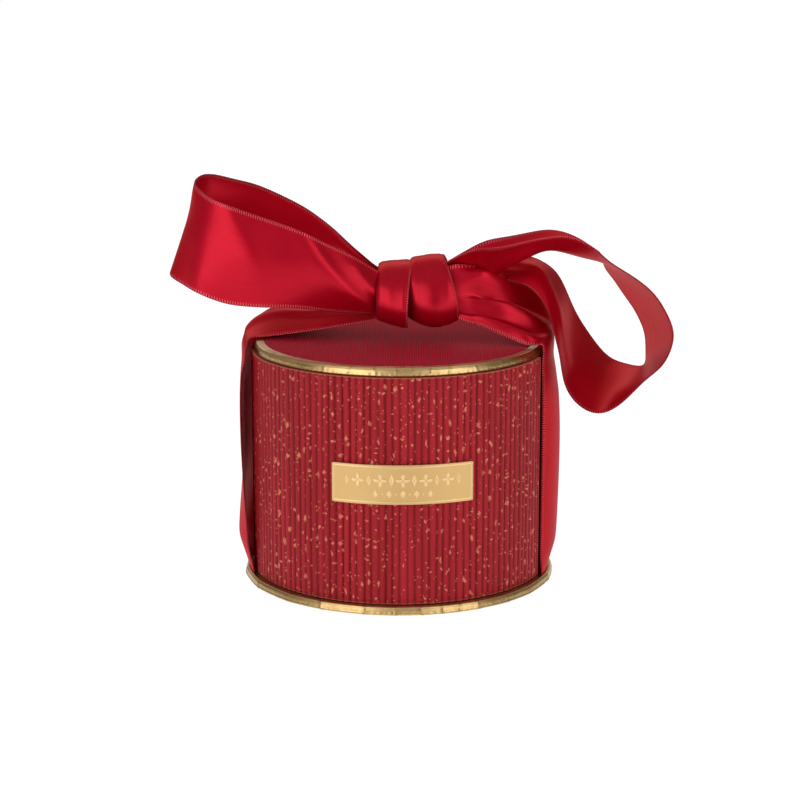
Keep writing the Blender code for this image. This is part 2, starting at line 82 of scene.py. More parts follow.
# Shapes of the ribbon, as shares: x and y of the wall's radius, height above the lid of the bow's
# height. They follow the shares of the solids, with more points where folds show.
BOW_HEIGHT = 60.0 * MM
LEG_STAND_OFF = 5.0 * MM
FOOT_STAND_OFF = 1.4 * MM
FOOT_DEPTH = 1.65 * MM
LAYER_GAP = 0.65 * MM
LEFT_LEG_BEARING = math.radians(-93)
RIGHT_LEG_BEARING = math.radians(90)

# Height as a share of the lid's top, then how far the front edge, the middle and the back edge
# stand off the wall, as shares of LEG_STAND_OFF
LEFT_SIDE_SHARES = (
    (0.07, 0.38, 0.52, 0.40),
    (0.15, 0.68, 0.92, 0.60),
    (0.22, 0.76, 0.98, 0.60),
    (0.34, 0.90, 0.74, 0.52),
    (0.47, 1.02, 0.52, 0.44),
    (0.65, 1.12, 0.50, 0.40),
    (0.86, 1.06, 0.54, 0.40),
    (0.94, 0.76, 0.60, 0.50),
)
RIGHT_SIDE_SHARES = (
    (0.07, 0.24, 0.44, 0.28),
    (0.12, 0.18, 0.72, 0.32),
    (0.19, 0.18, 0.86, 0.36),
    (0.38, 0.20, 0.96, 0.44),
    (0.65, 0.20, 0.98, 0.44),
    (0.86, 0.16, 0.72, 0.32),
    (0.94, 0.14, 0.50, 0.30),
)

# Rows of places across the ribbon, over the lid from its edge to the knot, front edge first
LEFT_BAND_SHARES = (
    ((-1.02, -0.15, -0.01), (-1.06, 0.15, -0.02), (-0.94, 0.49, -0.01)),
    ((-0.99, -0.04, 0.015), (-1.01, 0.28, 0.05), (-0.81, 0.60, 0.05)),
    ((-0.92, -0.02, 0.02), (-0.93, 0.33, 0.11), (-0.69, 0.60, 0.13)),
    ((-0.79, -0.03, 0.035), (-0.78, 0.29, 0.15), (-0.56, 0.51, 0.20)),
    ((-0.58, -0.05, 0.065), (-0.57, 0.19, 0.155), (-0.40, 0.38, 0.23)),
    ((-0.37, -0.07, 0.10), (-0.36, 0.11, 0.175), (-0.27, 0.24, 0.25)),
    ((-0.155, -0.09, 0.14), (-0.155, 0.04, 0.17), (-0.155, 0.15, 0.20)),
    ((-0.06, -0.09, 0.17), (-0.06, 0.03, 0.17), (-0.06, 0.13, 0.21)),
)
RIGHT_BAND_SHARES = (
    ((0.96, -0.32, 0.00), (0.995, -0.24, 0.00), (1.02, -0.16, 0.00), (1.045, -0.05, 0.00),
     (1.05, 0.07, 0.00), (1.03, 0.20, 0.00), (0.96, 0.38, 0.00)),
    ((0.93, -0.31, 0.02), (0.96, -0.235, 0.035), (0.99, -0.15, 0.045), (1.02, -0.04, 0.055),
     (1.035, 0.08, 0.065), (1.03, 0.21, 0.07), (0.97, 0.37, 0.07)),
    ((0.85, -0.30, 0.02), (0.88, -0.265, 0.07), (0.92, -0.16, 0.06), (0.96, -0.06, 0.115),
     (1.00, 0.06, 0.10), (1.02, 0.18, 0.14), (1.00, 0.33, 0.18)),
    ((0.75, -0.27, 0.05), (0.765, -0.245, 0.115), (0.80, -0.155, 0.10), (0.84, -0.08, 0.19),
     (0.885, 0.03, 0.165), (0.925, 0.13, 0.24), (0.95, 0.25, 0.32)),
    ((0.66, -0.25, 0.08), (0.665, -0.23, 0.15), (0.69, -0.155, 0.145), (0.71, -0.11, 0.245),
     (0.745, -0.02, 0.215), (0.78, 0.04, 0.30), (0.82, 0.16, 0.35)),
    ((0.54, -0.22, 0.125), (0.543, -0.207, 0.178), (0.555, -0.145, 0.172), (0.565, -0.12, 0.265),
     (0.58, -0.075, 0.265), (0.605, -0.08, 0.41), (0.66, 0.04, 0.40)),
    ((0.48, -0.195, 0.135), (0.48, -0.186, 0.175), (0.48, -0.145, 0.18), (0.485, -0.125, 0.26),
     (0.49, -0.10, 0.30), (0.49, -0.10, 0.41), (0.505, -0.03, 0.455)),
    ((0.40, -0.165, 0.16), (0.40, -0.16, 0.185), (0.395, -0.143, 0.20), (0.39, -0.14, 0.255),
     (0.38, -0.13, 0.30), (0.365, -0.115, 0.385), (0.355, -0.085, 0.468)),
    ((0.26, -0.13, 0.19), (0.26, -0.13, 0.21), (0.26, -0.13, 0.24), (0.26, -0.12, 0.27),
     (0.26, -0.12, 0.31), (0.26, -0.10, 0.36), (0.26, -0.07, 0.42)),
)

# Rows of places across the ribbon, from the knot round each loop and back to the knot
LEFT_LOOP_SHARES = (
    ((-0.05, -0.08, 0.40), (-0.05, -0.15, 0.30), (-0.05, -0.09, 0.21)),
    ((-0.15, -0.11, 0.44), (-0.15, -0.175, 0.315), (-0.15, -0.11, 0.19)),
    ((-0.28, -0.16, 0.52), (-0.28, -0.24, 0.36), (-0.28, -0.18, 0.20)),
    ((-0.42, -0.20, 0.59), (-0.42, -0.28, 0.405), (-0.42, -0.22, 0.21)),
    ((-0.57, -0.24, 0.66), (-0.57, -0.30, 0.45), (-0.57, -0.25, 0.23)),
    ((-0.74, -0.25, 0.73), (-0.74, -0.31, 0.495), (-0.74, -0.28, 0.25)),
    ((-0.92, -0.26, 0.79), (-0.93, -0.32, 0.535), (-0.95, -0.29, 0.26)),
    ((-1.08, -0.25, 0.84), (-1.11, -0.30, 0.57), (-1.14, -0.27, 0.275)),
    ((-1.21, -0.21, 0.88), (-1.27, -0.25, 0.61), (-1.32, -0.24, 0.33)),
    ((-1.30, -0.13, 0.925), (-1.37, -0.16, 0.645), (-1.43, -0.15, 0.37)),
    ((-1.335, -0.02, 0.96), (-1.43, -0.02, 0.69), (-1.53, -0.03, 0.41)),
    ((-1.31, 0.10, 0.985), (-1.40, 0.12, 0.715), (-1.49, 0.11, 0.45)),
    ((-1.24, 0.19, 0.985), (-1.31, 0.22, 0.725), (-1.38, 0.20, 0.465)),
    ((-1.11, 0.24, 0.95), (-1.16, 0.28, 0.71), (-1.22, 0.26, 0.465)),
    ((-0.96, 0.26, 0.91), (-1.00, 0.30, 0.66), (-1.05, 0.27, 0.41)),
    ((-0.76, 0.24, 0.83), (-0.79, 0.28, 0.59), (-0.82, 0.25, 0.36)),
    ((-0.58, 0.20, 0.735), (-0.60, 0.25, 0.53), (-0.62, 0.22, 0.33)),
    ((-0.37, 0.14, 0.59), (-0.38, 0.18, 0.43), (-0.39, 0.15, 0.275)),
    ((-0.24, 0.09, 0.50), (-0.24, 0.13, 0.36), (-0.24, 0.10, 0.24)),
    ((-0.15, 0.06, 0.44), (-0.15, 0.10, 0.335), (-0.15, 0.07, 0.22)),
    ((-0.05, 0.05, 0.40), (-0.05, 0.09, 0.31), (-0.05, 0.06, 0.23)),
)
RIGHT_LOOP_SHARES = (
    ((0.22, -0.10, 0.43), (0.22, 0.02, 0.43), (0.22, 0.10, 0.41)),
    ((0.33, -0.10, 0.495), (0.335, 0.02, 0.455), (0.33, 0.10, 0.465)),
    ((0.49, -0.15, 0.57), (0.51, 0.02, 0.44), (0.47, 0.16, 0.53)),
    ((0.60, -0.20, 0.59), (0.62, 0.02, 0.397), (0.60, 0.20, 0.58)),
    ((0.72, -0.24, 0.61), (0.745, 0.00, 0.45), (0.74, 0.24, 0.60)),
    ((0.847, -0.26, 0.642), (0.867, -0.02, 0.512), (0.888, 0.27, 0.622)),
    ((0.974, -0.28, 0.667), (0.994, -0.02, 0.555), (1.025, 0.29, 0.636)),
    ((1.093, -0.29, 0.676), (1.123, -0.02, 0.539), (1.154, 0.32, 0.61)),
    ((1.195, -0.30, 0.651), (1.235, 0.00, 0.508), (1.266, 0.33, 0.559)),
    ((1.292, -0.31, 0.60), (1.327, 0.00, 0.488), (1.348, 0.34, 0.508)),
    ((1.368, -0.32, 0.539), (1.389, 0.01, 0.467), (1.389, 0.345, 0.473)),
    ((1.46, -0.33, 0.483), (1.45, 0.01, 0.437), (1.419, 0.345, 0.396)),
    ((1.573, -0.33, 0.416), (1.532, 0.01, 0.376), (1.476, 0.345, 0.324)),
    ((1.68, -0.32, 0.33), (1.624, 0.01, 0.289), (1.547, 0.345, 0.232)),
    ((1.757, -0.31, 0.227), (1.695, 0.015, 0.192), (1.614, 0.345, 0.146)),
    ((1.808, -0.31, 0.12), (1.746, 0.02, 0.094), (1.665, 0.345, 0.064)),
    ((1.808, -0.31, 0.013), (1.767, 0.02, -0.013), (1.706, 0.35, -0.038)),
    ((1.746, -0.31, -0.11), (1.741, 0.02, -0.13), (1.716, 0.35, -0.156)),
    ((1.629, -0.32, -0.207), (1.665, 0.01, -0.222), (1.695, 0.345, -0.238)),
    ((1.486, -0.33, -0.335), (1.532, 0.00, -0.289), (1.578, 0.33, -0.227)),
    ((1.338, -0.33, -0.401), (1.399, -0.01, -0.304), (1.46, 0.31, -0.181)),
    ((1.20, -0.33, -0.35), (1.276, -0.02, -0.227), (1.368, 0.29, -0.095)),
    ((1.108, -0.31, -0.227), (1.184, -0.03, -0.115), (1.287, 0.27, 0.008)),
    ((1.072, -0.29, -0.064), (1.123, -0.05, 0.038), (1.21, 0.255, 0.125)),
    ((1.033, -0.24, 0.084), (1.074, -0.08, 0.186), (1.145, 0.24, 0.257)),
    ((0.979, -0.18, 0.231), (1.004, -0.06, 0.323), (1.075, 0.24, 0.373)),
    ((0.885, -0.09, 0.332), (0.931, 0.00, 0.418), (0.976, 0.22, 0.448)),
    ((0.77, 0.00, 0.362), (0.80, 0.07, 0.42), (0.865, 0.22, 0.48)),
    ((0.65, 0.085, 0.38), (0.67, 0.15, 0.42), (0.745, 0.22, 0.465)),
    ((0.53, 0.12, 0.401), (0.545, 0.165, 0.418), (0.60, 0.21, 0.44)),
    ((0.36, 0.10, 0.36), (0.36, 0.14, 0.38), (0.36, 0.18, 0.41)),
    ((0.24, 0.07, 0.34), (0.24, 0.10, 0.35), (0.24, 0.13, 0.36)),
)

# Folds of the ribbon: a line of places in mm, along and across the strip, then the ridge's height
# and width in mm and, where the line's right side differs, the width there
LEFT_LEG_FOLDS = (
    (((98, 13), (148, 16)), 0.95, 3.0),
    (((104, 28), (150, 24)), 0.7, 2.4),
    (((14, 11), (70, 16)), 0.35, 4.0),
)
RIGHT_LEG_FOLDS = (
    (((10, 20), (68, 17)), -0.3, 4.0),
)
LEFT_LOOP_FOLDS = (
    (((36, -2), (28, 10), (19, 22), (6, 36)), 0.95, 6.5, 4.0),
    (((4, 22), (14, 6)), 0.4, 3.2),
    (((69, -3), (56, 14), (47, 36)), 0.7, 8.0, 5.5),
    (((52, 38), (72, 38)), 0.8, 11),
    (((90, 0), (150, 0)), 1.5, 9),
)
RIGHT_LOOP_FOLDS = (
    (((14, 6), (30, 5), (46, 7)), 0.5, 4.0),
    (((194, 28), (184, 23), (172, 19), (156, 13)), -0.45, 4.0),
)

# Pleats that fan out of the knot: whether they start at the strip's far end, then their depth,
# reach and pitch in mm and their phase
LEFT_LOOP_GATHERS = ((True, 0.5, 18, 10, 0.2),)
RIGHT_LOOP_GATHERS = ((False, 0.35, 18, 13, 0.4), (True, 0.35, 20, 11, 0.9))

# The stretch of the first and of the second edge, in shares of the length, whose stitches catch
# the light. A stretch beyond 1 is none.
LEFT_LEG_LIT = ((0.6, 1.1), (2, 3))
RIGHT_LEG_LIT = ((0.6, 1.1), (0.75, 1.1))
LEFT_LOOP_LIT = ((-0.1, 0.45), (0.2, 0.42))
RIGHT_LOOP_LIT = ((-0.1, 0.25), (0.85, 1.1))
KNOT_LIT = ((2, 3), (-0.1, 1.1))

# Distance between a strip's grid points along it, and the points across each strip
STRIP_STEP = 0.6 * MM
SIDE_POINTS = 7
STRIP_POINTS = 61
FOLDED_STRIP_POINTS = 77

# Sides of the tube that stands for a row of stitches
PICOT_SIDES = 6

# Turns of the knot: points round one and across one of its layers, the angle below the front at
# which a turn's ends meet, its half depth, how far it draws in at its edges and leans back, and
# how far from the grid's last column the outer layer's middle is
KNOT_POINTS = 221
LAYER_POINTS = 30
KNOT_SEAM = 0.62 * math.pi
KNOT_HALF_DEPTH = 12.8 * MM
KNOT_FLARE = 0.03
KNOT_LEAN_BACK = 0.22
OUTER_LAYER_MIDDLE = 15

# Foil: points round it, rounding of its folded edge, how far the lid's strip hangs down, width
# and most slant of a crease in radians, height of creases and wrinkles, and how far the ends of
# a flat facet may stand out
FOIL_POINTS = 1440
FOIL_CORNER = 0.6 * MM
LID_FOIL_DROP = 0.2 * MM
CREASE_WIDTH = 0.011
CREASE_SLANT = 0.035
CREASE_HEIGHT = 0.1 * MM
FACET_TILT = 0.2 * MM

# Flecks of the ribbed paper: how its map is stretched, cells to the metre, the largest fleck as a
# share of its cell, and the random number above which a cell holds a fleck
TALL_FLECKS = ((1, 0.6, 1), 350, 0.275, 0.61)
WIDE_FLECKS = ((0.8, 1.1, 1), 390, 0.245, 0.65)
SMALL_FLECKS = ((1, 0.85, 1), 620, 0.24, 0.69)

# Plate: thickness of the solid and of the embossed one, how far the ornament rises, rounding of
# the corners, and points across and up
PLATE_SOLID = 0.8 * MM
PLATE_THICKNESS = 0.66 * MM
PLATE_RELIEF = 0.14 * MM
PLATE_CORNER = 0.9 * MM
PLATE_COLUMNS, PLATE_ROWS = 401, 117

# Softboxes: name, bearing in degrees, distance, size and height in metres, and their setting
SOFTBOXES = (
    ("left_softbox", -38, 1.05, (0.75, 0.95), 0.45, "key_power"),
    ("right_softbox", 41, 1.05, (0.66, 0.95), 0.45, "fill_power"),
    ("back_light", 180, 1.7, (2.8, 1.2), 1.2, "back_power"),
)

# Stage: tilt of the softboxes from straight down, spread and turn of the light from above, half
# the floor's side in metres, width of the camera's sensor in mm and how far it sees in metres
SOFTBOX_TILT = math.radians(72)
OVERHEAD_SPREAD = math.radians(110)
OVERHEAD_TURN = (math.radians(-12), math.radians(-8), 0)
FLOOR_HALF = 12.0
SENSOR_WIDTH = 36
VIEW_END = 50

# Bearings in degrees where the foil is creased, chosen for the front
BASE_PLEATS = (-171, -152, -133, -118, -101, -83, -64, -44, -29, -12.7, -1, 7.7, 15.6, 21.8, 29.6,
               42.7, 55.5, 74, 92, 110, 127, 149, 166)
LID_PLEATS = (-168, -149, -131, -112, -94, -77, -60, -42, -29.5, -19, -9, -1, 5.5, 12, 19.5, 30.5,
              43, 55, 71, 89, 106, 128, 150, 171)


def size_setting(name, description, default):
    """A setting that is a length in metres."""
    return FloatProperty(name=name, description=description, default=default, unit="LENGTH")


def angle_setting(name, description, degrees):
    """A setting that is an angle."""
    return FloatProperty(name=name, description=description, default=math.radians(degrees), subtype="ANGLE")


def colour_setting(name, description, default):
    """A setting that is a colour."""
    return FloatVectorProperty(name=name, description=description, default=default, subtype="COLOR")


def number_setting(name, description, default):
    """A setting that is a plain number."""
    return FloatProperty(name=name, description=description, default=default)


class WallSettings(PropertyGroup):
    """Sizes and colours of the ribbed sheet and the papers."""

    ribs: IntProperty(name="Ribs", description="Ribs on a whole turn of the wall", default=132, min=20)
    rib_depth: size_setting("Rib depth", "From crest to groove", 0.62 * MM)
    sheet: size_setting("Sheet", "Thickness of the ribbed sheet over its crests", 1.3 * MM)
    start: angle_setting("First edge", "Bearing of the cut edge beside the ribbon", 70)
    opening: angle_setting("Open angle", "Part of the turn that the sheet leaves open", 40)
    lid_line: size_setting("Lid line", "Pitch of the lines on the lid's paper", 0.85 * MM)
    crest_colour: colour_setting("Crests", "Colour of the ribs' crests", (0.36, 0.012, 0.020))
    # The groove colour is painted shade: the ribs' grooves are coloured darker where shade falls between the
    # ribs
    groove_shade_colour: colour_setting("Grooves", "Colour between the ribs", (0.165, 0.002, 0.005))
    # The cut edges' colour is partly the card's own pale edge and partly a painted highlight along it
    cut_edge_and_highlight_colour: colour_setting("Cut edges", "Colour of the sheet's cut edges", (0.60, 0.28, 0.16))
    fleck_colour: colour_setting("Flecks", "Colour of the gold flecks", (0.64, 0.21, 0.115))
    dark_fleck_colour: colour_setting("Dark flecks", "Their second colour", (0.52, 0.13, 0.085))
    paper_colour: colour_setting("Paper", "Colour of the lid's and base's paper", (0.47, 0.021, 0.041))
    lining_colour: colour_setting("Lining", "Colour of the lining paper", (0.80, 0.74, 0.66))
    board_colour: colour_setting("Board", "Colour of the raw board", (0.42, 0.36, 0.30))


class FoilSettings(PropertyGroup):
    """Sizes and colours of the gold foil and the plate."""

    thickness: size_setting("Foil", "Thickness of the folded foil", 0.25 * MM)
    width: size_setting("Width", "How far the foil runs onto the lid", 3.7 * MM)
    turn_in: size_setting("Turn-in", "How far the foil runs under the lid", 6.5 * MM)
    base_width: size_setting("Base width", "How far the foil runs onto and under the base", 3.8 * MM)
    lean: angle_setting("Lean", "How far the foil's outer face leans back", 12)
    colour: colour_setting("Foil colour", "Colour of the gold foil", (0.69, 0.47, 0.21))
    # Darker foil colour: a random dulling of facets, and painted shade towards the sides
    dull_and_shaded_foil_colour: colour_setting("Dull foil", "Colour of its dull facets", (0.34, 0.22, 0.085))
    crease_colour: colour_setting("Creases", "Colour of its creases", (0.30, 0.17, 0.07))
    plate_colour: colour_setting("Plate colour", "Colour of the gold plate", (0.64, 0.42, 0.175))
    cloud_colour: colour_setting("Plate clouds", "Second colour of the plate", (0.62, 0.36, 0.14))
    # The relief colour is a painted highlight: the raised parts are coloured lighter, as where they catch the
    # light
    relief_highlight_colour: colour_setting("Relief", "Colour of its raised parts", (0.80, 0.57, 0.29))


class RibbonSettings(PropertyGroup):
    """Sizes and colours of the satin ribbon."""

    width: size_setting("Width", "Width of the ribbon laid flat", 38 * MM)
    thickness: size_setting("Thickness", "Thickness of the satin", 0.4 * MM)
    picot: size_setting("Picot", "Pitch of the stitches along its edges", 0.9 * MM)
    colour: colour_setting("Satin", "Colour of the satin", (0.51, 0.002, 0.018))
    selvedge_colour: colour_setting("Selvedge", "Colour of its woven edges", (0.16, 0.001, 0.006))
    # The stitch colour is a painted highlight where stitches catch the light; the shaded colour is painted
    # shade on the edges
    stitch_highlight_colour: colour_setting("Stitches", "Colour of the stitches", (0.90, 0.15, 0.18))
    shade_colour: colour_setting("Shaded stitches", "Colour away from the light", (0.10, 0.001, 0.008))


class StageSettings(PropertyGroup):
    """The camera, the floor and the lights."""

    camera_height: size_setting("Camera height", "Height of the camera above the floor", 0.248)
    camera_distance: size_setting("Camera distance", "From the box's axis to the camera", 0.8)
    camera_shift: size_setting("Camera shift", "How far the camera stands to the right", 0.4 * MM)
    camera_pitch: angle_setting("Camera pitch", "How far the camera looks down", 12.85)
    lens: number_setting("Lens", "Focal length in millimetres on a 36 mm sensor", 98.55)
    key_power: number_setting("Key light", "Power of the left softbox in watts", 4.6)
    fill_power: number_setting("Fill light", "Power of the right softbox in watts", 3.6)
    back_power: number_setting("Back light", "Power of the wide light behind the box in watts", 9.0)
    ambient: number_setting("Ambient", "Brightness of the room", 0.26)
    overhead: number_setting("Overhead", "Strength of the wide light from above", 0.55)
    room_colour: colour_setting("Room", "Colour of the room's light", (1.0, 0.985, 0.965))
    floor_glow: number_setting("Floor glow", "Brightness that the lit floor has of its own", 0.85)


# Meshes


def smooth_step(value, low, high):
    """0 below low, 1 above high, and 3 t^2 - 2 t^3 between."""
    t = np.clip((value - low) / (high - low), 0, 1)
    return t * t * (3 - 2 * t)


def spline(knots, places):
    """A natural cubic spline through knots, read at places counted in knots.

    Between two knots a and b the curve is s a + t b + ((s^3 - s) A + (t^3 - t) B) / 6 with
    s = 1 - t, where the second derivatives A, B, ... solve m[i-1] + 4 m[i] + m[i+1] =
    6 (p[i-1] - 2 p[i] + p[i+1]) and are zero at both ends.
    """
    knots = np.asarray(knots, float)
    count = len(knots)
    flat = knots.reshape(count, -1)
    inner = np.arange(1, count - 1)
    system = np.eye(count)
    system[inner, inner] = 4
    system[inner, inner - 1] = 1
    system[inner, inner + 1] = 1
    bend = np.zeros_like(flat)
    bend[1:-1] = 6 * (flat[:-2] - 2 * flat[1:-1] + flat[2:])
    second = np.linalg.solve(system, bend)
    low = np.clip(places.astype(int), 0, count - 2)
    t = (places - low)[:, None]
    s = 1 - t
    curve = s * flat[low] + t * flat[low + 1] + ((s**3 - s) * second[low] + (t**3 - t) * second[low + 1]) / 6
    return curve.reshape(len(places), *knots.shape[1:])


def run_lengths(line):
    """How far along a line of points each point lies."""
    steps = np.linalg.norm(np.diff(line, axis=0), axis=-1)
    return np.concatenate([[0.0], np.cumsum(steps)])


def unit(vectors):
    """Vectors at length one."""
    return vectors / np.maximum(np.linalg.norm(vectors, axis=-1, keepdims=True), 1e-12)


def grid_normals(grid):
    """The cross product of a grid's two directions at each of its points."""
    return unit(np.cross(np.gradient(grid, axis=0), np.gradient(grid, axis=1)))


def cylinder(radius, bearing, height):
    """Points at arrays of radius, bearing and height: (r sin b, -r cos b, h)."""
    radius, bearing, height = np.broadcast_arrays(radius, bearing, height)
    return np.stack([radius * np.sin(bearing), -radius * np.cos(bearing), height], axis=-1)


def grid_quads(index):
    """The quads between the neighbours of a grid of vertex numbers."""
    return np.stack([index[:-1, :-1], index[:-1, 1:], index[1:, 1:], index[1:, :-1]], axis=-1).reshape(-1, 4)


def border_quads(line, count):
    """The quads between a border line of one skin and the same line of the other."""
    return np.stack([line[1:], line[:-1], line[:-1] + count, line[1:] + count], axis=-1)


def shell(outer, inner, around=False):
    """Vertices and quads of a closed wall between two grids of the same size.

    With around, the last column meets the first and only the rows have borders.
    """
    rows, columns = outer.shape[:2]
    count = rows * columns
    index = np.arange(count).reshape(rows, columns)
    if around:
        index = np.hstack([index, index[:, :1]])
    skin = grid_quads(index)
    quads = [skin, skin[:, ::-1] + count, border_quads(index[0], count), border_quads(index[-1, ::-1], count)]
    if not around:
        quads += [border_quads(index[::-1, 0], count), border_quads(index[:, -1], count)]
    return np.concatenate([outer.reshape(-1, 3), inner.reshape(-1, 3)]), np.concatenate(quads)


def tube(rings):
    """Vertices and quads of a closed tube: rings along its length, with capped ends."""
    count, around = rings.shape[:2]
    index = np.arange(count * around).reshape(count, around)
    fan = np.arange(1, around // 2)
    caps = [
        np.stack([ring[fan - 1], ring[fan], ring[around - 1 - fan], ring[(around - fan) % around]], axis=-1)
        for ring in (index[0, ::-1], index[-1])
    ]
    side = grid_quads(np.hstack([index, index[:, :1]]))
    return rings.reshape(-1, 3), np.concatenate([side, *caps])


def outer_value(value, inner=0.0):
    """A value for each vertex of a shell: given on its outer skin, one number on its inner skin."""
    return np.concatenate([value.ravel(), np.full(value.size, inner)])


def add_object(name, data):
    """An object in the scene's collection, at the origin."""
    made = bpy.data.objects.new(name, data)
    bpy.context.scene.collection.objects.link(made)
    return made


def add_piece(name, vertices, quads, finish, uv=None, values=None, sharp=math.radians(40)):
    """A mesh object with its faces outwards, smooth but for its sharp edges.

    Faces point outwards when the sum of a . (b x c) over their triangles is positive.
    """
    if not np.isfinite(vertices).all():
        raise ValueError(f"{name} has a vertex with no place")
    a, b, c, d = (vertices[quads[:, corner]] for corner in range(4))
    volume = np.sum(a * np.cross(b, c)) + np.sum(a * np.cross(c, d))
    if volume < 0:
        quads = quads[:, ::-1]
    mesh = bpy.data.meshes.new(name)
    mesh.from_pydata(vertices.tolist(), [], quads.tolist())
    if uv is not None:
        layer = mesh.uv_layers.new(name="cloth")
        layer.data.foreach_set("uv", uv[quads.ravel()].astype(np.float32).ravel())
    for label, value in (values or {}).items():
        attribute = mesh.attributes.new(label, "FLOAT", "POINT")
        attribute.data.foreach_set("value", np.asarray(value, np.float32).ravel())
    mesh.materials.append(finish)
    mesh.shade_smooth()
    mesh.set_sharp_from_angle(angle=sharp)
    return add_object(name, mesh)


def dress(piece, body, slot, *nodes):
    """Seats a piece on its body and lets it stand for its solids."""
    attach(piece, body)
    if nodes:
        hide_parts(*nodes)
    return piece


# Materials


class Wire:
    """A shader socket that takes Python's operators; each adds its Math node."""

    def __init__(self, finish, socket):
        self.finish = finish
        self.socket = socket

    def math(self, operation, *others):
        return self.finish.node("ShaderNodeMath", {"operation": operation}, dict(enumerate((self, *others))))

    def __add__(self, other):
        return self.math("ADD", other)

    __radd__ = __add__

    def __mul__(self, other):
        return self.math("MULTIPLY", other)

    __rmul__ = __mul__

    def __sub__(self, other):
        return self.math("SUBTRACT", other)

    def __rsub__(self, other):
        return self.finish.node("ShaderNodeMath", {"operation": "SUBTRACT"}, {0: other, 1: self})

    def ramp(self, low, high, start=0.0, end=1.0):
        """Goes smoothly from start to end as the value goes from low to high."""
        settings = {"interpolation_type": "SMOOTHSTEP"}
        inputs = {"Value": self, "From Min": low, "From Max": high, "To Min": start, "To Max": end}
        return self.finish.node("ShaderNodeMapRange", settings, inputs)


class Finish:
    """A material under construction: constants on its shader's sockets, and nodes that vary them."""

    def __init__(self, name, constants):
        self.material = bpy.data.materials.new(name)
        self.material.use_nodes = True
        self.tree = self.material.node_tree
        self.shader = self.tree.nodes["Principled BSDF"]
        for socket, value in constants.items():
            self.shader.inputs[socket].default_value = value

    def node(self, kind, settings, inputs, output=0):
        """Adds a node: its settings first, then a value or a link for each of its sockets."""
        made = self.tree.nodes.new(kind)
        for setting, value in settings.items():
            setattr(made, setting, value)
        for socket, value in inputs.items():
            if isinstance(value, Wire):
                self.tree.links.new(value.socket, made.inputs[socket])
            else:
                made.inputs[socket].default_value = value
        return Wire(self, made.outputs[output])

    def drive(self, socket, wire):
        """Lets a wire vary one of the shader's sockets."""
        self.tree.links.new(wire.socket, self.shader.inputs[socket])

    def place(self, stretch=(1, 1, 1)):
        """Object coordinates in metres, stretched along the axes."""
        where = self.node("ShaderNodeTexCoord", {}, {}, "Object")
        return self.node("ShaderNodeMapping", {}, {"Vector": where, "Scale": stretch})

    def cloth(self, stretch=(1, 1, 1)):
        """The piece's own map, in metres along and across its surface."""
        where = self.node("ShaderNodeUVMap", {"uv_map": "cloth"}, {})
        return self.node("ShaderNodeMapping", {}, {"Vector": where, "Scale": stretch})

    def value(self, label):
        """A number that the piece carries at each vertex."""
        return self.node("ShaderNodeAttribute", {"attribute_name": label}, {}, "Fac")

    def noise(self, where, per_metre, detail=3.0, roughness=0.5):
        """Smooth noise from 0 to 1."""
        inputs = {"Vector": where, "Scale": per_metre, "Detail": detail, "Roughness": roughness}
        return self.node("ShaderNodeTexNoise", {}, inputs)

    def mix(self, factor, first, second):
        """Blends two colours, each a wire or three numbers."""
        colours = [each if isinstance(each, Wire) else (*each, 1.0) for each in (first, second)]
        return self.node("ShaderNodeMix", {"data_type": "RGBA"}, {0: factor, 6: colours[0], 7: colours[1]}, 2)

    def bump(self, height, distance, strength=1.0):
        """Roughens the shader's normal by a height from 0 to 1 that stands for a distance."""
        inputs = {"Strength": strength, "Distance": distance, "Height": height}
        self.drive("Normal", self.node("ShaderNodeBump", {}, inputs))


def darker(colour, share):
    """A colour at a share of its brightness."""
    return tuple(share * part for part in colour)


def fleck_mask(finish, stretch, per_metre, largest, share):
    """Flecks: cells whose random number passes a share hold a spot, bent by warped coordinates."""
    where = finish.cloth(stretch)
    warp = {"Vector": where, "Scale": per_metre * 1.3, "Detail": 2.0}
    wander = finish.node("ShaderNodeTexNoise", {}, warp, "Color")
    bend = (0.8 / per_metre,) * 3
    bent = finish.node("ShaderNodeVectorMath", {"operation": "MULTIPLY_ADD"}, {0: wander, 1: bend, 2: where})
    cells = {"Vector": bent, "Scale": per_metre, "Randomness": 1.0}
    flat = {"voronoi_dimensions": "2D", "distance": "MANHATTAN"}
    distance = finish.node("ShaderNodeTexVoronoi", flat, cells, "Distance")
    colour = finish.node("ShaderNodeTexVoronoi", flat, cells, "Color")
    chosen = finish.node("ShaderNodeSeparateColor", {}, {"Color": colour}, 0)
    size = finish.node("ShaderNodeSeparateColor", {}, {"Color": colour}, 1)
    edge = distance - size.ramp(0, 1, largest * 0.3, largest)
    return edge.ramp(-0.04, 0.03, 1, 0) * chosen.ramp(share, share + 0.02)


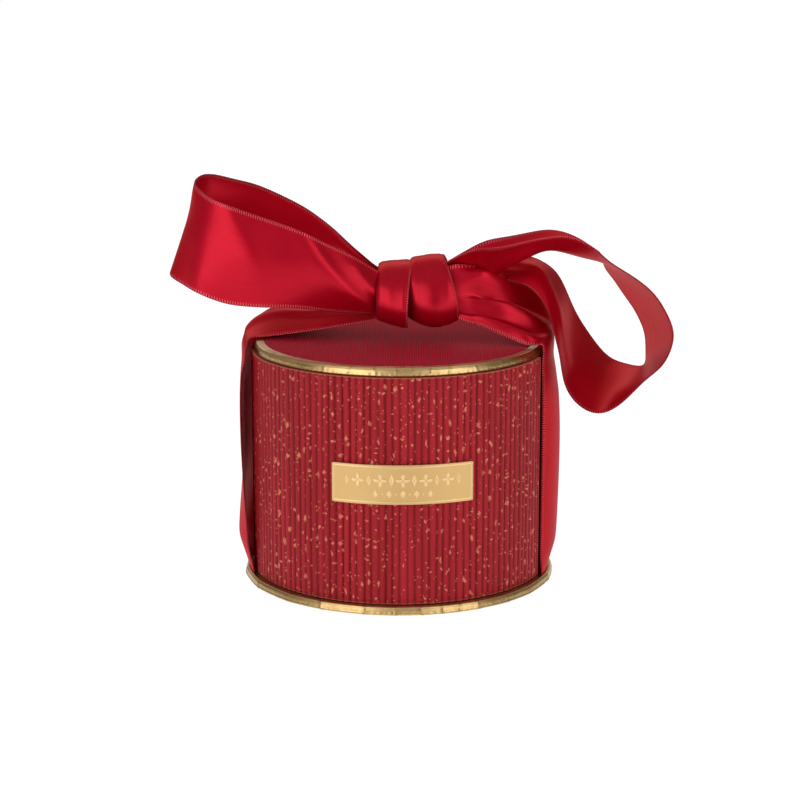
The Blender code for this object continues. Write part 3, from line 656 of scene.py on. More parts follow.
def ribbed_paper(settings):
    """Ribbed paper with foil flecks pressed into it."""
    finish = Finish("flecked_paper", {"Roughness": 0.5, "Specular IOR Level": 0.15})
    cut = finish.value("cut")
    grain = finish.noise(finish.place((1, 1, 0.35)), 1500, 4.0, 0.7)
    cloud = finish.noise(finish.place((1, 1, 0.2)), 90, 2.0)
    # Painted shade: the grooves between the ribs are coloured darker by their depth
    paper = finish.mix(finish.value("groove"), settings.crest_colour, settings.groove_shade_colour)
    shade = cloud.ramp(0.35, 0.7, 0, 0.25) + finish.value("tone") * 0.3
    paper = finish.mix(shade, paper, settings.groove_shade_colour)
    paper = finish.mix(grain.ramp(0.45, 0.8, 0, 0.22), paper, settings.crest_colour)
    tall, wide, small = (fleck_mask(finish, *flecks) for flecks in (TALL_FLECKS, WIDE_FLECKS, SMALL_FLECKS))
    fleck = tall.math("MAXIMUM", wide).math("MAXIMUM", small * 0.8) * (1 - cut)
    tone = finish.noise(finish.cloth(), 700, 1.0)
    gold = finish.mix(tone.ramp(0.35, 0.65), settings.fleck_colour, settings.dark_fleck_colour)
    colour = finish.mix(fleck * 0.85, paper, gold)
    # The cut edges are painted paler: partly the card's own edge, partly a painted highlight along it
    finish.drive("Base Color", finish.mix(cut * 0.35, colour, settings.cut_edge_and_highlight_colour))
    finish.drive("Roughness", fleck.ramp(0, 1, 0.52, 0.36))
    finish.drive("Metallic", fleck * 0.3)
    finish.bump(grain + fleck * 0.6, 0.03 * MM, 0.6)
    return finish.material


def lined_paper(settings):
    """Matte paper with fine pressed lines, for the lid's top."""
    finish = Finish("lined_paper", {"Roughness": 0.6, "Specular IOR Level": 0.012})
    grain = finish.noise(finish.place(), 2200, 3.0, 0.6)
    # Painted shade: the pressed lines are coloured darker by their depth
    paper = finish.mix(finish.value("groove"), settings.paper_colour, darker(settings.paper_colour, 0.62))
    finish.drive("Base Color", finish.mix(grain.ramp(0.4, 0.8, 0, 0.25), paper, settings.crest_colour))
    finish.bump(grain, 0.02 * MM, 0.4)
    return finish.material


def plain_paper(name, colour, roughness, grain_size):
    """Plain paper or board with a fibrous grain."""
    finish = Finish(name, {"Roughness": roughness, "Specular IOR Level": 0.3})
    grain = finish.noise(finish.place(), grain_size, 4.0, 0.65)
    finish.drive("Base Color", finish.mix(grain.ramp(0.35, 0.7), colour, darker(colour, 0.72)))
    finish.bump(grain, 0.04 * MM, 0.5)
    return finish.material


def gold_foil(settings):
    """Bright foil paper, crinkled where it was folded."""
    finish = Finish("crinkled_foil", {"Metallic": 1.0, "Roughness": 0.34})
    crinkle = finish.noise(finish.place((1, 1, 2.5)), 160, 3.0, 0.55)
    speck = finish.noise(finish.place((1, 1, 1.5)), 900, 2.0, 0.6)
    tarnish = crinkle.ramp(0.5, 0.8, 0, 0.3) + finish.value("fold") * speck.ramp(0.4, 0.65, 0.0, 0.9)
    # Facets darken by a random share, and towards the sides by a painted shade that stands in for their
    # darker reflection
    gold = finish.mix(finish.value("dull"), settings.colour, settings.dull_and_shaded_foil_colour)
    finish.drive("Base Color", finish.mix(tarnish, gold, settings.crease_colour))
    finish.drive("Roughness", crinkle.ramp(0.3, 0.8, 0.28, 0.42))
    finish.bump(crinkle + speck * 0.14, 0.22 * MM, 0.6)
    return finish.material


def plate_gold(settings):
    """The plate's satin gold, with a fine sandy grain."""
    finish = Finish("plate_gold", {"Metallic": 0.85, "Roughness": 0.42})
    grain = finish.noise(finish.place(), 2600, 2.0, 0.6)
    cloud = finish.noise(finish.place(), 60, 2.0)
    gold = finish.mix(cloud.ramp(0.35, 0.7, 0, 0.4), settings.plate_colour, settings.cloud_colour)
    # Painted highlight: the raised ornament, border and lip are coloured lighter
    finish.drive("Base Color", finish.mix(finish.value("raised"), gold, settings.relief_highlight_colour))
    finish.drive("Roughness", grain.ramp(0.3, 0.7, 0.36, 0.5))
    finish.bump(grain, 0.03 * MM, 0.35)
    return finish.material


def satin(settings):
    """Satin: lengthwise threads under a soft sheen, with stitches along its edges."""
    finish = Finish("woven_satin", {
        "Metallic": 0.64, "Roughness": 0.38, "Specular IOR Level": 0.0, "Coat Roughness": 0.3,
        "Subsurface Weight": 0.4, "Subsurface Radius": (1.0, 0.1, 0.15), "Subsurface Scale": 2.5 * MM,
        "Specular Tint": (0.75, 0.08, 0.11, 1.0),
    })
    thread = finish.noise(finish.cloth((0.05, 1, 1)), 5200, 2.0, 0.7)
    streak = finish.noise(finish.cloth((0.03, 1, 1)), 1500, 2.0, 0.6)
    cloud = finish.noise(finish.cloth((0.4, 1, 1)), 120, 2.0)
    along = finish.node("ShaderNodeSeparateXYZ", {}, {0: finish.cloth()})
    selvedge = finish.value("selvedge")
    stitch = (along * (math.tau / settings.picot)).math("SINE").ramp(-0.3, 0.6) * selvedge
    shaded = darker(settings.colour, 0.70)
    colour = finish.mix(thread.ramp(0.3, 0.8, 0, 0.3), settings.colour, shaded)
    colour = finish.mix(streak.ramp(0.35, 0.7, 0, 0.35), colour, shaded)
    colour = finish.mix(cloud.ramp(0.4, 0.8, 0, 0.25), colour, shaded)
    colour = finish.mix(selvedge * 0.4, colour, settings.selvedge_colour)
    # Painted highlight on the stitches, then painted shade on the edge tubes by their rim value
    colour = finish.mix(stitch * 0.75, colour, settings.stitch_highlight_colour)
    finish.drive("Base Color", finish.mix(finish.value("rim") * 0.5, colour, settings.shade_colour))
    finish.drive("Roughness", streak.ramp(0.3, 0.7, 0.33, 0.41))
    finish.drive("Coat Weight", (1 - selvedge) * 0.2)
    finish.bump(thread * 0.15 + streak * 0.2 + stitch, 0.14 * MM, 0.8)
    return finish.material


# The box


def rib_profile(turns, wander):
    """How deep the groove is, from 0 on a crest to 1, at a place counted in ribs.

    Each rib's groove is 0.75 exp(-((p - m) / w)^2) + 0.25 (1 + cos(2 pi (p - m))) / 2 for the
    place p within the rib, with a middle m, a width w and a depth that wander a little from rib
    to rib.
    """
    rib = np.floor(turns).astype(int)
    place = turns - rib
    middle = 0.5 + 0.07 * wander[rib % len(wander), 0]
    width = 0.15 + 0.03 * wander[rib % len(wander), 1]
    depth = 0.86 + 0.14 * wander[rib % len(wander), 2]
    swell = 0.5 + 0.5 * np.cos(math.tau * (place - middle))
    return depth * (0.75 * np.exp(-(((place - middle) / width) ** 2)) + 0.25 * swell)


class GIFTBOX_OT_wall(Operator):
    """The ribbed sheet round the wall, and the papers and boards that keep their solids

    The sheet's radius is the wall's less the rib depth times the rib profile, and up the wall the
    ribs sway sideways by up to a twentieth of a rib.
    """

    bl_idname = "giftbox.wall"
    bl_label = "Ribbed wall"

    def execute(self, context):
        settings = context.scene.gift_wall
        columns_per_rib = 12
        rows = 28
        hem = 0.15 * MM
        wander = np.random.default_rng(7).uniform(-1, 1, (settings.ribs, 4))
        covered = math.tau - settings.opening
        columns = int(settings.ribs * covered / math.tau) * columns_per_rib
        heights = np.linspace(WALL_BOTTOM + 2 * hem, WALL_TOP - 2 * hem, rows)
        heights = np.array([WALL_BOTTOM, WALL_BOTTOM + hem, *heights, WALL_TOP - hem, WALL_TOP])[:, None]
        bearing = np.linspace(settings.start, settings.start - covered, columns + 1)[None, :]
        turns = (settings.start - bearing) / math.tau * settings.ribs
        sway = 0.05 * np.sin(heights * 60 + turns * 0.9)
        groove = rib_profile(turns + sway, wander)
        outer = cylinder(BODY_RADIUS - settings.rib_depth * groove, bearing, heights)
        inner = cylinder(BODY_RADIUS - settings.sheet, bearing, heights)
        vertices, quads = shell(outer, inner)
        flat = np.stack(np.broadcast_arrays(bearing * BODY_RADIUS, heights), axis=-1).reshape(-1, 2)
        rim = np.minimum(heights - WALL_BOTTOM, WALL_TOP - heights) < 1.5 * hem
        column = np.arange(columns + 1)[None, :]
        # Cut edges, the top and bottom rows and the end columns, are painted paler: the card's edge with a
        # painted highlight
        cut = (rim | (column < 2) | (column > columns - 2)).astype(float)
        rib = np.floor(turns + 0.01).astype(int) % settings.ribs
        tone = np.broadcast_to(np.clip(wander[rib, 3], 0, 1), groove.shape)
        values = {"groove": outer_value(groove), "cut": outer_value(cut, 1.0), "tone": outer_value(tone)}
        piece = add_piece("ribbed_wall_sheet", vertices, quads, ribbed_paper(settings),
                          np.concatenate([flat, flat]), values)
        dress(piece, "box", "ribbed_paper", "wall_sheet")
        plain = plain_paper("plain_red_paper", tuple(settings.paper_colour), 0.6, 900)
        lining = plain_paper("plain_lining", tuple(settings.lining_colour), 0.8, 700)
        board = plain_paper("raw_board", tuple(settings.board_colour), 0.85, 500)
        for finish, nodes in (
            (plain, ("body_tube", "base_top_paper", "base_bottom_paper")),
            (lining, ("tube_lining", "floor_board", "lid_plug_lining")),
            (board, ("base_board", "lid_board", "lid_plug")),
        ):
            for node in nodes:
                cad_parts[node].data.materials[0] = finish
        return {"FINISHED"}


class GIFTBOX_OT_lid_paper(Operator):
    """The lid's paper with its fine pressed lines

    A line is as deep as its depth times ((1 - cos(2 pi x / p)) / 2)^3, for the place x across the
    lines and their pitch p, and it wavers by two hundredths of the pitch.
    """

    bl_idname = "giftbox.lid_paper"
    bl_label = "Lid paper"

    def execute(self, context):
        settings = context.scene.gift_wall
        columns_per_line = 8
        rows = 40
        depth = 0.09 * MM
        low, high = span("lid_top_paper", 2)
        lines = round(2 * LID_PAPER_RADIUS / settings.lid_line)
        x = LID_PAPER_RADIUS * np.linspace(-0.9995, 0.9995, lines * columns_per_line + 1)[None, :]
        y = np.linspace(-1, 1, rows)[:, None] * np.sqrt(LID_PAPER_RADIUS**2 - x**2)
        groove = 0.5 - 0.5 * np.cos(math.tau * (x / settings.lid_line + 0.02 * np.sin(y * 900)))
        groove = groove**3
        top = np.stack(np.broadcast_arrays(x, y, high - depth * groove), axis=-1)
        under = np.stack(np.broadcast_arrays(x, y, low), axis=-1)
        vertices, quads = shell(top, under)
        piece = add_piece("lined_lid_paper", vertices, quads, lined_paper(settings), None,
                          {"groove": outer_value(groove)})
        dress(piece, "lid", "red_paper", "lid_top_paper")
        return {"FINISHED"}


def foil_profile(height, lean, bulge, top_width, under_width):
    """Across the foil strip: how far in from the edge, and how far up.

    It runs from the root under the board, round a corner, up the face, which leans back by its
    lean and bulges by sin(pi z / h), and round a corner to the root on top.
    """
    corner = FOIL_CORNER
    turn = np.linspace(0, math.pi / 2, 5)
    up_share = np.linspace(0.24, 0.76, 6)
    inset = np.concatenate([
        np.linspace(under_width, corner, 6)[:-1],
        corner * (1 - np.sin(turn)),
        lean * up_share,
        lean + corner * (1 - np.cos(turn)),
        np.linspace(lean + corner, top_width, 6)[1:],
    ])
    level = np.concatenate([
        np.zeros(5),
        corner * (1 - np.cos(turn)),
        height * up_share,
        height - corner * (1 - np.sin(turn)),
        np.full(5, height),
    ])
    return inset - bulge * np.sin(math.pi * level / height), level


def foil_rim(name, radius, bottom, top, top_width, under_width, pleats, flatness, bulge, seed, settings):
    """A foil strip folded round a board's edge and creased into facets.

    Between two pleats the outer face bends by its flatness f towards a chord,
    r = R (1 - f + f cos(h) / cos(b - m)) for a facet with half angle h and middle m, and turns a
    little about that middle. Each pleat adds a small ridge exp(-(d / w)^2) that slants across
    the edge, and the lower part of the face has wrinkles, the product of two sines of the
    bearing. The strip on top sinks a little and ripples. Each facet is dulled by a random share of
    its own, and towards the sides all are painted darker, a painted shade that stands in for the
    darker reflection there.
    """
    rng = np.random.default_rng(seed)
    bearing = np.linspace(-math.pi, math.pi, FOIL_POINTS, endpoint=False)
    marks = np.radians(np.array(pleats))
    closed = np.append(marks, marks[0] + math.tau)
    which = np.searchsorted(marks, bearing, side="right") - 1
    lifted = np.where(which < 0, bearing + math.tau, bearing)
    which = which % len(marks)
    start, end = closed[which], closed[which + 1]
    middle, half = (start + end) / 2, (end - start) / 2
    chord = np.cos(half) / np.cos(lifted - middle)
    tilt = rng.uniform(-1, 1, len(marks))[which]
    face = radius * (1 - flatness + flatness * chord)
    face = face + FACET_TILT * flatness * tilt * (lifted - middle) / half
    height = top - bottom
    lean = height * math.tan(settings.lean)
    inset, level = foil_profile(height, lean, bulge, top_width, under_width)
    inset = inset[:, None]
    level = level[:, None]
    slant = rng.uniform(-CREASE_SLANT, CREASE_SLANT, len(marks))
    up = level / height - 0.5
    before = lifted - start - slant[which] * up
    after = end - lifted + slant[(which + 1) % len(marks)] * up
    crease = np.exp(-((before / CREASE_WIDTH) ** 2)) + np.exp(-((after / CREASE_WIDTH) ** 2))
    strength = CREASE_HEIGHT * (0.4 + 0.6 * rng.uniform(0, 1, len(marks)))[which]
    # The creased face goes over into plain rings at the strip's roots
    keep = np.clip(inset / top_width, 0, 1)
    radial = (face - inset) * (1 - keep) + (radius - inset) * keep
    wrinkle = np.sin(bearing * 131 + 2 * np.sin(bearing * 17)) * np.sin(bearing * 47 + 1)
    low_share = np.clip(1 - level / (0.6 * height), 0, 1)
    edge_share = np.clip(1 - inset / (4 * FOIL_CORNER + lean), 0, 1)
    proud = (strength * crease + CREASE_HEIGHT * wrinkle * low_share) * edge_share
    outer = cylinder(radial + proud, bearing, bottom + level)
    on_top = (level == height) & (inset < top_width - 0.1 * MM)
    ripple = np.sin(bearing * 57 + 3 * np.sin(bearing * 11))
    outer[..., 2] += on_top * MM * (0.03 * crease + 0.012 * ripple - 0.04)
    # The inner skin lies a thickness or more behind the face, and straight above or below the roots
    inner_radius = np.minimum(radial - settings.thickness, radius - settings.thickness - 2 * BOARD_GAP)
    inner_radius = np.where(inset > FOIL_CORNER + lean + settings.thickness, radial, inner_radius)
    inner_level = np.clip(level, settings.thickness, height - settings.thickness)
    inner = cylinder(inner_radius, bearing, bottom + inner_level)
    vertices, quads = shell(outer, inner, around=True)
    # Painted shade towards the sides, added to each facet's random dulling
    sides = smooth_step(np.abs(bearing), *np.radians((26, 40)))
    dull = 0.25 * rng.uniform(0, 1, len(marks))[which] + 0.5 * sides
    values = {
        "fold": outer_value(np.clip(crease, 0, 1)),
        "dull": np.tile(dull, 2 * len(level)),
    }
    return add_piece(name, vertices, quads, gold_foil(settings), None, values, math.radians(50))


class GIFTBOX_OT_foil(Operator):
    """The gold foil round the lid and round the base"""

    bl_idname = "giftbox.foil"
    bl_label = "Gold foil"

    def execute(self, context):
        settings = context.scene.gift_foil
        lid = foil_rim("pleated_lid_foil", LID_RADIUS, LID_BOTTOM - LID_FOIL_DROP, LID_TOP, settings.width,
                       settings.turn_in, LID_PLEATS, flatness=0.08, bulge=0.24 * MM, seed=3,
                       settings=settings)
        dress(lid, "lid", "gold_foil", "lid_rim_foil")
        base = foil_rim("pleated_base_foil", BASE_RADIUS, 0.0, BASE_TOP, settings.base_width,
                        settings.base_width, BASE_PLEATS, flatness=0.4, bulge=0.1 * MM, seed=5,
                        settings=settings)
        dress(base, "box", "gold_foil", "base_rim_foil")
        return {"FINISHED"}


def lozenge(across, up, half_width, half_height):
    """Positive inside an upright lozenge: 1 - |x| / a - |z| / b."""
    return 1 - np.abs(across) / half_width - np.abs(up) / half_height


def ornament(x, z):
    """A generic raised ornament on the plate, from 0 to 1, at places in metres from its middle.

    The upper row alternates four-petalled rosettes, r < R (0.62 + 0.38 cos 4 a), and upright
    lozenges. The lower row is a shorter run of small and smaller lozenges.
    """
    fade = 0.12 * MM
    raised = np.zeros(np.broadcast(x, z).shape)
    rise = z - 1.5 * MM
    for index in range(-5, 6):
        left = x - index * 4.0 * MM
        if index % 2 == 0:
            reach = np.hypot(left, rise)
            petal = 2.3 * MM * (0.62 + 0.38 * np.cos(4 * np.arctan2(rise, left))) - reach
            shape = smooth_step(petal, -fade, fade) - 0.8 * smooth_step(0.42 * MM - reach, -fade, fade)
        else:
            body = lozenge(left, rise, 0.75 * MM, 2.2 * MM)
            hollow = lozenge(left, rise, 0.35 * MM, 1.0 * MM)
            shape = smooth_step(body, -0.1, 0.1) - 0.6 * smooth_step(hollow, -0.1, 0.1)
        raised = np.maximum(raised, shape)
    rise = z + 3.4 * MM
    for index in range(-4, 5):
        size = 1.35 * MM if index % 2 == 0 else 0.45 * MM
        small = lozenge(x - index * 2.4 * MM, rise, 0.62 * size, size)
        raised = np.maximum(raised, smooth_step(small, -0.12, 0.12))
    return raised


class GIFTBOX_OT_plate(Operator):
    """The gold plate on the front: a raised border and a generic ornament

    It stands off its inner face by its thickness, plus its relief times the greatest of the
    ornament, the border and the lip, less a rounding at its edge.
    """

    bl_idname = "giftbox.plate"
    bl_label = "Gold plate"

    def execute(self, context):
        settings = context.scene.gift_foil
        inner_radius = BODY_RADIUS + BOARD_GAP
        turns = [math.asin(x / (inner_radius + PLATE_SOLID)) for x in span("label_plate", 0)]
        middle, half = sum(turns) / 2, (turns[1] - turns[0]) / 2
        height = LABEL_TOP - LABEL_BOTTOM
        across = np.linspace(-1, 1, PLATE_COLUMNS)[None, :]
        up = np.linspace(-1, 1, PLATE_ROWS)[:, None]
        width = half * inner_radius
        x = across * width
        shrink = np.clip((np.abs(x) - width + PLATE_CORNER) / PLATE_CORNER, 0, 1)
        z = up * (height / 2 - PLATE_CORNER * (1 - np.sqrt(1 - shrink**2)) * 0.9)
        side = np.minimum(width - np.abs(x), height / 2 - np.abs(z))
        border = smooth_step(side, 0.55 * MM, 0.75 * MM) * (1 - smooth_step(side, 0.95 * MM, 1.15 * MM))
        lip = 1 - smooth_step(side, 0.1 * MM, 0.35 * MM)
        raised = np.maximum(ornament(x, z), np.maximum(border * 0.8, lip * 0.5))
        rounding = 0.25 * MM * (1 - smooth_step(side, -0.01 * MM, 0.2 * MM))
        bearing = middle + across * half
        level = (LABEL_TOP + LABEL_BOTTOM) / 2 + z
        outer = cylinder(inner_radius + PLATE_THICKNESS + PLATE_RELIEF * raised - rounding, bearing, level)
        vertices, quads = shell(outer, cylinder(inner_radius, bearing, level))
        piece = add_piece("embossed_plate", vertices, quads, plate_gold(settings), None,
                          {"raised": outer_value(raised)})
        dress(piece, "box", "label_gold", "label_plate")
        return {"FINISHED"}


# The ribbon


def above_lid(shares):
    """Rows of ribbon points from their shares."""
    return np.array(shares) * (BODY_RADIUS, BODY_RADIUS, BOW_HEIGHT) + (0, 0, LID_TOP)


def side_rows(centre, shares, width):
    """Rows of a leg beside the wall, from its tucked end to the lid, front edge first.

    The stand-off at a place q from -1 to 1 across is m + (b - f) q / 2 + ((f + b) / 2 - m) q^2.
    """
    foot = FOOT_STAND_OFF / LEG_STAND_OFF
    tucked, ledge = (BASE_TOP - FOOT_DEPTH) / LID_TOP, (BASE_TOP + BOARD_GAP) / LID_TOP
    rows = ((tucked, foot, foot, foot), (ledge, foot, foot, foot), *shares)
    height, front, middle, back = np.array(rows).T[:, :, None]
    across = np.linspace(-1, 1, SIDE_POINTS)[None, :]
    stand_off = middle + (back - front) / 2 * across + ((front + back) / 2 - middle) * across**2
    half = width / 2 / (BODY_RADIUS + FOOT_STAND_OFF)
    bearing = centre + math.copysign(half, centre) * across
    return cylinder(BODY_RADIUS + LEG_STAND_OFF * stand_off, bearing, height * LID_TOP)


def strip_grid(rows, across):
    """A fine grid on a strip: evenly stepped along its middle, and across points wide."""
    last = len(rows) - 1
    knots = np.append(np.arange(0, last, 0.05), last)
    length = run_lengths(spline(rows, knots).mean(axis=1))
    even = np.linspace(0, length[-1], int(length[-1] / STRIP_STEP) + 1)
    grid = spline(rows, np.interp(even, length, knots)).transpose(1, 0, 2)
    wide = spline(grid, np.linspace(0, len(grid) - 1, across))
    return wide.transpose(1, 0, 2), length[-1]


def strip_places(grid, length, width):
    """Places along and across a grid in metres, as a column and a row."""
    return np.linspace(0, length, grid.shape[0])[:, None], np.linspace(0, width, grid.shape[1])[None, :]


def fold(u, v, places, height, width, far_width=None):
    """A ridge along a line of places, (along, across) in mm: height times exp(-(d / width)^2).

    The distance d is to the nearest segment, and the side to the right of the line's direction
    may have a width of its own.
    """
    best = np.zeros(np.broadcast(u, v).shape)
    line = np.array(places) * MM
    for first, last in zip(line[:-1], line[1:]):
        run = last - first
        length = np.linalg.norm(run)
        along = np.clip(((u - first[0]) * run[0] + (v - first[1]) * run[1]) / length**2, 0, 1)
        distance = np.hypot(u - first[0] - along * run[0], v - first[1] - along * run[1])
        side = (v - first[1]) * run[0] - (u - first[0]) * run[1]
        reach = np.where(side > 0, far_width or width, width) * MM
        best = np.maximum(best, np.exp(-((distance / reach) ** 2)))
    return height * MM * best


def gathers(from_end, v, depth, reach, pitch, phase):
    """Pleats that fan out from a knotted end: depth exp(-(d / reach)^2) sin(2 pi v / pitch + phase)."""
    wave = np.sin(math.tau * v / (pitch * MM) + phase)
    return depth * MM * np.exp(-((from_end / (reach * MM)) ** 2)) * wave


def picot_tube(edge, outward, normal, pitch):
    """The stitched edge: a small oval tube that swells at each stitch.

    The swell s is 0.12 + 0.26 |sin(pi u / pitch)| mm at a length u along the edge. The tube's
    middle is s / 2 outside the edge, its half width s / 2 + 0.16 mm, its half thickness 0.27 mm.
    """
    length = run_lengths(edge)
    fine = np.linspace(0, length[-1], int(length[-1] / pitch * 5) + 1)
    line, out, up = (np.stack([np.interp(fine, length, part[:, axis]) for axis in range(3)], axis=-1)
                     for part in (edge, outward, normal))
    swell = (0.12 + 0.26 * np.abs(np.sin(math.pi * fine / pitch)))[:, None] * MM
    turn = np.linspace(0, math.tau, PICOT_SIDES, endpoint=False)
    ring = np.cos(turn)[None, :, None] * (swell / 2 + 0.16 * MM)[:, None] * out[:, None]
    ring = ring + np.sin(turn)[None, :, None] * 0.27 * MM * up[:, None]
    return tube(line[:, None] + (swell / 2 * out)[:, None] + ring)


def add_ribbon(name, node, grid, length, lift, lit, settings):
    """A satin strip with both picot edges.

    For each edge, lit is the stretch, in shares of the length, whose stitches catch the light.
    """
    skin = grid + grid_normals(grid) * lift[..., None]
    normals = grid_normals(skin)
    half = settings.thickness / 2
    u, v = strip_places(grid, length, settings.width)
    flat = np.stack(np.broadcast_arrays(u, v), axis=-1).reshape(-1, 2)
    vertices, quads = shell(skin + normals * half, skin - normals * half)
    selvedge = 1 - smooth_step(np.minimum(v, settings.width - v), 0.9 * MM, 1.3 * MM)
    selvedge = np.tile(selvedge.ravel(), 2 * len(grid))
    finish = bpy.data.materials.get("woven_satin") or satin(settings)
    piece = add_piece(name, vertices, quads, finish, np.concatenate([flat, flat]),
                      {"selvedge": selvedge, "rim": np.zeros(len(vertices))})
    dress(piece, "ribbon", "red_satin", node)
    for label, column, inward, (start, end) in (("first", 0, 1, lit[0]), ("second", -1, -2, lit[1])):
        edge = skin[:, column]
        outward = unit(edge - skin[:, inward])
        points, faces = picot_tube(edge, outward, normals[:, column], settings.picot)
        share = np.repeat(np.linspace(0, 1, len(points) // PICOT_SIDES), PICOT_SIDES)
        place = np.stack([share * run_lengths(edge)[-1], np.zeros(len(points))], axis=-1)
        # The edge tube gets painted shade, except on the stretch whose stitches take the painted highlight
        catches = smooth_step(share, start - 0.02, start + 0.02)
        catches = catches * (1 - smooth_step(share, end - 0.02, end + 0.02))
        trim = add_piece(f"{name}_{label}_edge", points, faces, finish, place,
                         {"selvedge": np.ones(len(points)), "rim": 1 - 0.9 * catches})
        dress(trim, "ribbon", "red_satin")


def lay_ribbon(name, node, rows, across, folds, pleats, lit, settings):
    """A stretch of ribbon from its rows of places, with its folds and its gathers."""
    grid, length = strip_grid(rows, across)
    u, v = strip_places(grid, length, settings.width)
    lift = sum(fold(u, v, *shape) for shape in folds)
    for at_far_end, *wave in pleats:
        lift = lift + gathers(length - u if at_far_end else u, v, *wave)
    add_ribbon(name, node, grid, length, lift, lit, settings)


class GIFTBOX_OT_legs(Operator):
    """The two legs of ribbon, from the base up the sides and over the lid to the knot"""

    bl_idname = "giftbox.legs"
    bl_label = "Ribbon legs"

    def execute(self, context):
        settings = context.scene.gift_ribbon
        for name, node, bearing, side, band, across, folds, lit in (
            ("satin_left_leg", "ribbon_left_leg", LEFT_LEG_BEARING, LEFT_SIDE_SHARES, LEFT_BAND_SHARES,
             STRIP_POINTS, LEFT_LEG_FOLDS, LEFT_LEG_LIT),
            ("satin_right_leg", "ribbon_right_leg", RIGHT_LEG_BEARING, RIGHT_SIDE_SHARES, RIGHT_BAND_SHARES,
             FOLDED_STRIP_POINTS, RIGHT_LEG_FOLDS, RIGHT_LEG_LIT),
        ):
            over = above_lid(band).transpose(1, 0, 2)
            over = spline(over, np.linspace(0, len(over) - 1, SIDE_POINTS)).transpose(1, 0, 2)
            rows = np.concatenate([side_rows(bearing, side, settings.width), over])
            lay_ribbon(name, node, rows, across, folds, (),
                       lit, settings)
        return {"FINISHED"}


class GIFTBOX_OT_loops(Operator):
    """The two loops of the bow"""

    bl_idname = "giftbox.loops"
    bl_label = "Ribbon loops"

    def execute(self, context):
        settings = context.scene.gift_ribbon
        lay_ribbon("satin_left_loop", "ribbon_left_loop", above_lid(LEFT_LOOP_SHARES), STRIP_POINTS,
                   LEFT_LOOP_FOLDS, LEFT_LOOP_GATHERS,
                   LEFT_LOOP_LIT, settings)
        lay_ribbon("satin_right_loop", "ribbon_right_loop", above_lid(RIGHT_LOOP_SHARES), STRIP_POINTS,
                   RIGHT_LOOP_FOLDS, RIGHT_LOOP_GATHERS,
                   RIGHT_LOOP_LIT, settings)
        return {"FINISHED"}


def knot_turn(edges, span_z, lean, scale, belly, layers, pleats):
    """One turn of ribbon round the bow's middle, folded lengthwise, as a grid round it and across it.

    Edges, span and lean are in mm. Round the turn a point is (x, D c |c|^(p-1), H s |s|^(p-1))
    for the angle's cosine c and sine s, with p a little under one, so that its front is fuller
    than an ellipse. Across, a triangle wave folds the strip back and forth, each layer lying
    inside the one before, and the last, outer layer has the pleats and draws in at its edges.
    Both edges lean with the height h from -1 to 1, by their lean times h + 0.7 h^2. D and H are
    scaled across the turn, above from the first scale to the second, below from the third to
    the fourth with a belly times sin(pi q), and the whole turn leans back as it rises.
    """
    turn = np.linspace(0, math.tau, KNOT_POINTS)[:, None] - KNOT_SEAM
    step = 0.5 - 0.5 * np.cos(math.pi * np.linspace(0, 1, LAYER_POINTS + 1)[1:])
    layer = np.concatenate([[0.0], (np.arange(layers)[:, None] + step[None, :]).ravel()])
    from_edge = (layers - layer)[None, :]
    across = 1 - np.arccos(np.clip(np.cos(math.pi * from_edge), -1, 1)) / math.pi
    depth = LAYER_GAP * sum(smooth_step(from_edge, edge - 0.05, edge + 0.05) for edge in range(1, layers))
    depth = depth + np.zeros_like(turn)
    for place, width, height in pleats:
        wander = place + 0.05 * np.sin(turn + 9 * place) - 0.04 * np.sin(2 * turn)
        crest = height * MM * np.exp(-(((across - wander) / width) ** 2)) * (0.75 + 0.25 * np.cos(turn - 0.4))
        depth = depth - (crest - 0.12 * MM)
    edge = np.minimum(across, 1 - across)
    draw = 1 - KNOT_FLARE * (1 - smooth_step(edge, 0, 0.14))
    c, s = np.cos(turn), np.sin(turn)
    power = 0.9
    left, right = (place * MM for place in edges)
    bottom, top = (place * MM for place in span_z)
    height = np.sign(s) * np.abs(s) ** power
    upper = scale[0] + (scale[1] - scale[0]) * across
    lower = scale[2] + (scale[3] - scale[2]) * across + belly * np.sin(math.pi * across)
    draw = draw * (lower + (upper - lower) * smooth_step(height, -0.6, 0.6))
    rise = ((top - bottom) / 2 * draw - depth) * height
    y = KNOT_LEAN_BACK * rise - (KNOT_HALF_DEPTH * draw - depth) * np.sign(c) * np.abs(c) ** power
    shift = (lean[0] * (1 - across) + lean[1] * across) * MM * (height + 0.7 * height**2)
    x = left + (right - left) * across + shift
    return np.stack(np.broadcast_arrays(x, y, LID_TOP + (bottom + top) / 2 + rise), axis=-1)


class GIFTBOX_OT_knot(Operator):
    """The two turns of ribbon round the middle of the bow"""

    bl_idname = "giftbox.knot"
    bl_label = "Knot"

    def execute(self, context):
        settings = context.scene.gift_ribbon
        left = knot_turn(edges=(-7.9, 3.0), span_z=(7.0, 28.0), lean=(0.3, 0.8), belly=0.0, layers=3,
                         scale=(1.02, 1.12, 0.93, 1.22), pleats=((0.4, 0.2, 0.2),))
        right = knot_turn(edges=(3.3, 20.5), span_z=(6.2, 31.0), lean=(0.7, -2.5), belly=0.20, layers=2,
                          scale=(0.93, 1.03, 0.80, 0.92), pleats=((0.55, 0.2, 0.3),))
        for name, node, grid in (("satin_left_knot_turn", "knot_left_turn", left),
                                 ("satin_right_knot_turn", "knot_right_turn", right)):
            length = run_lengths(grid[:, -OUTER_LAYER_MIDDLE])[-1]
            add_ribbon(name, node, grid, length, np.zeros(grid.shape[:2]),
                       KNOT_LIT, settings)
        return {"FINISHED"}


# The stage


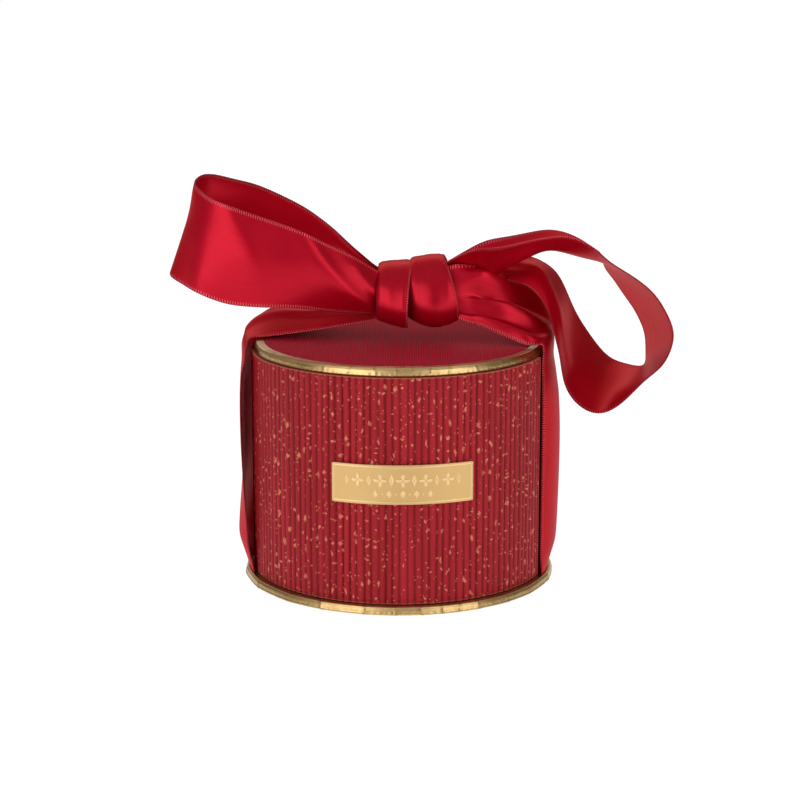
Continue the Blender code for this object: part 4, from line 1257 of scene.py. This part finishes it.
class GIFTBOX_OT_stage(Operator):
    """The floor, the lights and the camera"""

    bl_idname = "giftbox.stage"
    bl_label = "Stage"

    def execute(self, context):
        settings = context.scene.gift_stage
        scene = context.scene
        floor_finish = Finish("pale_floor", {
            "Base Color": (0.35, 0.35, 0.35, 1), "Roughness": 0.9, "Specular IOR Level": 0.0,
            "Emission Color": (1, 1, 1, 1), "Emission Strength": settings.floor_glow,
        })
        corners = [(x * FLOOR_HALF, y * FLOOR_HALF, 0.0) for x, y in ((-1, -1), (1, -1), (1, 1), (-1, 1))]
        mesh = bpy.data.meshes.new("floor")
        mesh.from_pydata(corners, [], [(0, 1, 2, 3)])
        mesh.materials.append(floor_finish.material)
        floor = add_object("floor", mesh)
        for name, bearing, distance, size, height, power in SOFTBOXES:
            light = bpy.data.lights.new(name, "AREA")
            light.shape = "RECTANGLE"
            light.size, light.size_y = size
            light.energy = getattr(settings, power)
            turn = math.radians(bearing)
            lamp = add_object(name, light)
            lamp.location = (distance * math.sin(turn), -distance * math.cos(turn), height)
            lamp.rotation_euler = (SOFTBOX_TILT, 0, turn)
        sky = bpy.data.lights.new("overhead", "SUN")
        sky.energy = settings.overhead
        sky.angle = OVERHEAD_SPREAD
        add_object("overhead", sky).rotation_euler = OVERHEAD_TURN
        world = bpy.data.worlds.new("room")
        world.use_nodes = True
        backdrop = world.node_tree.nodes["Background"]
        backdrop.inputs["Color"].default_value = (*settings.room_colour, 1.0)
        backdrop.inputs["Strength"].default_value = settings.ambient
        scene.world = world
        scene.view_settings.view_transform = "Standard"
        camera = bpy.data.cameras.new("camera")
        camera.lens = settings.lens
        camera.sensor_width = SENSOR_WIDTH
        camera.clip_end = VIEW_END
        eye = add_object("camera", camera)
        eye.location = (settings.camera_shift, -settings.camera_distance, settings.camera_height)
        eye.rotation_euler = (math.pi / 2 - settings.camera_pitch, 0, 0)
        scene.camera = eye
        return {"FINISHED"}


class GIFTBOX_PT_panel(Panel):
    """Lists the pieces of the gift box"""

    bl_label = "Gift Box"
    bl_space_type = "VIEW_3D"
    bl_region_type = "UI"
    bl_category = "Gift Box"

    def draw(self, context):
        for operator in PIECES:
            self.layout.operator(operator.bl_idname)


PIECES = (GIFTBOX_OT_wall, GIFTBOX_OT_lid_paper, GIFTBOX_OT_foil, GIFTBOX_OT_plate, GIFTBOX_OT_legs,
          GIFTBOX_OT_loops, GIFTBOX_OT_knot, GIFTBOX_OT_stage)
SETTINGS = {"gift_wall": WallSettings, "gift_foil": FoilSettings, "gift_ribbon": RibbonSettings,
            "gift_stage": StageSettings}


def register():
    for part in (*SETTINGS.values(), *PIECES, GIFTBOX_PT_panel):
        bpy.utils.register_class(part)
    for name, group in SETTINGS.items():
        setattr(bpy.types.Scene, name, PointerProperty(type=group))


def unregister():
    for name in SETTINGS:
        delattr(bpy.types.Scene, name)
    for part in (GIFTBOX_PT_panel, *reversed(PIECES), *SETTINGS.values()):
        bpy.utils.unregister_class(part)


def main():
    """Makes every piece and the stage."""
    register()
    bpy.ops.giftbox.wall()
    bpy.ops.giftbox.lid_paper()
    bpy.ops.giftbox.foil()
    bpy.ops.giftbox.plate()
    bpy.ops.giftbox.legs()
    bpy.ops.giftbox.loops()
    bpy.ops.giftbox.knot()
    bpy.ops.giftbox.stage()


if __name__ == "__main__":
    main()
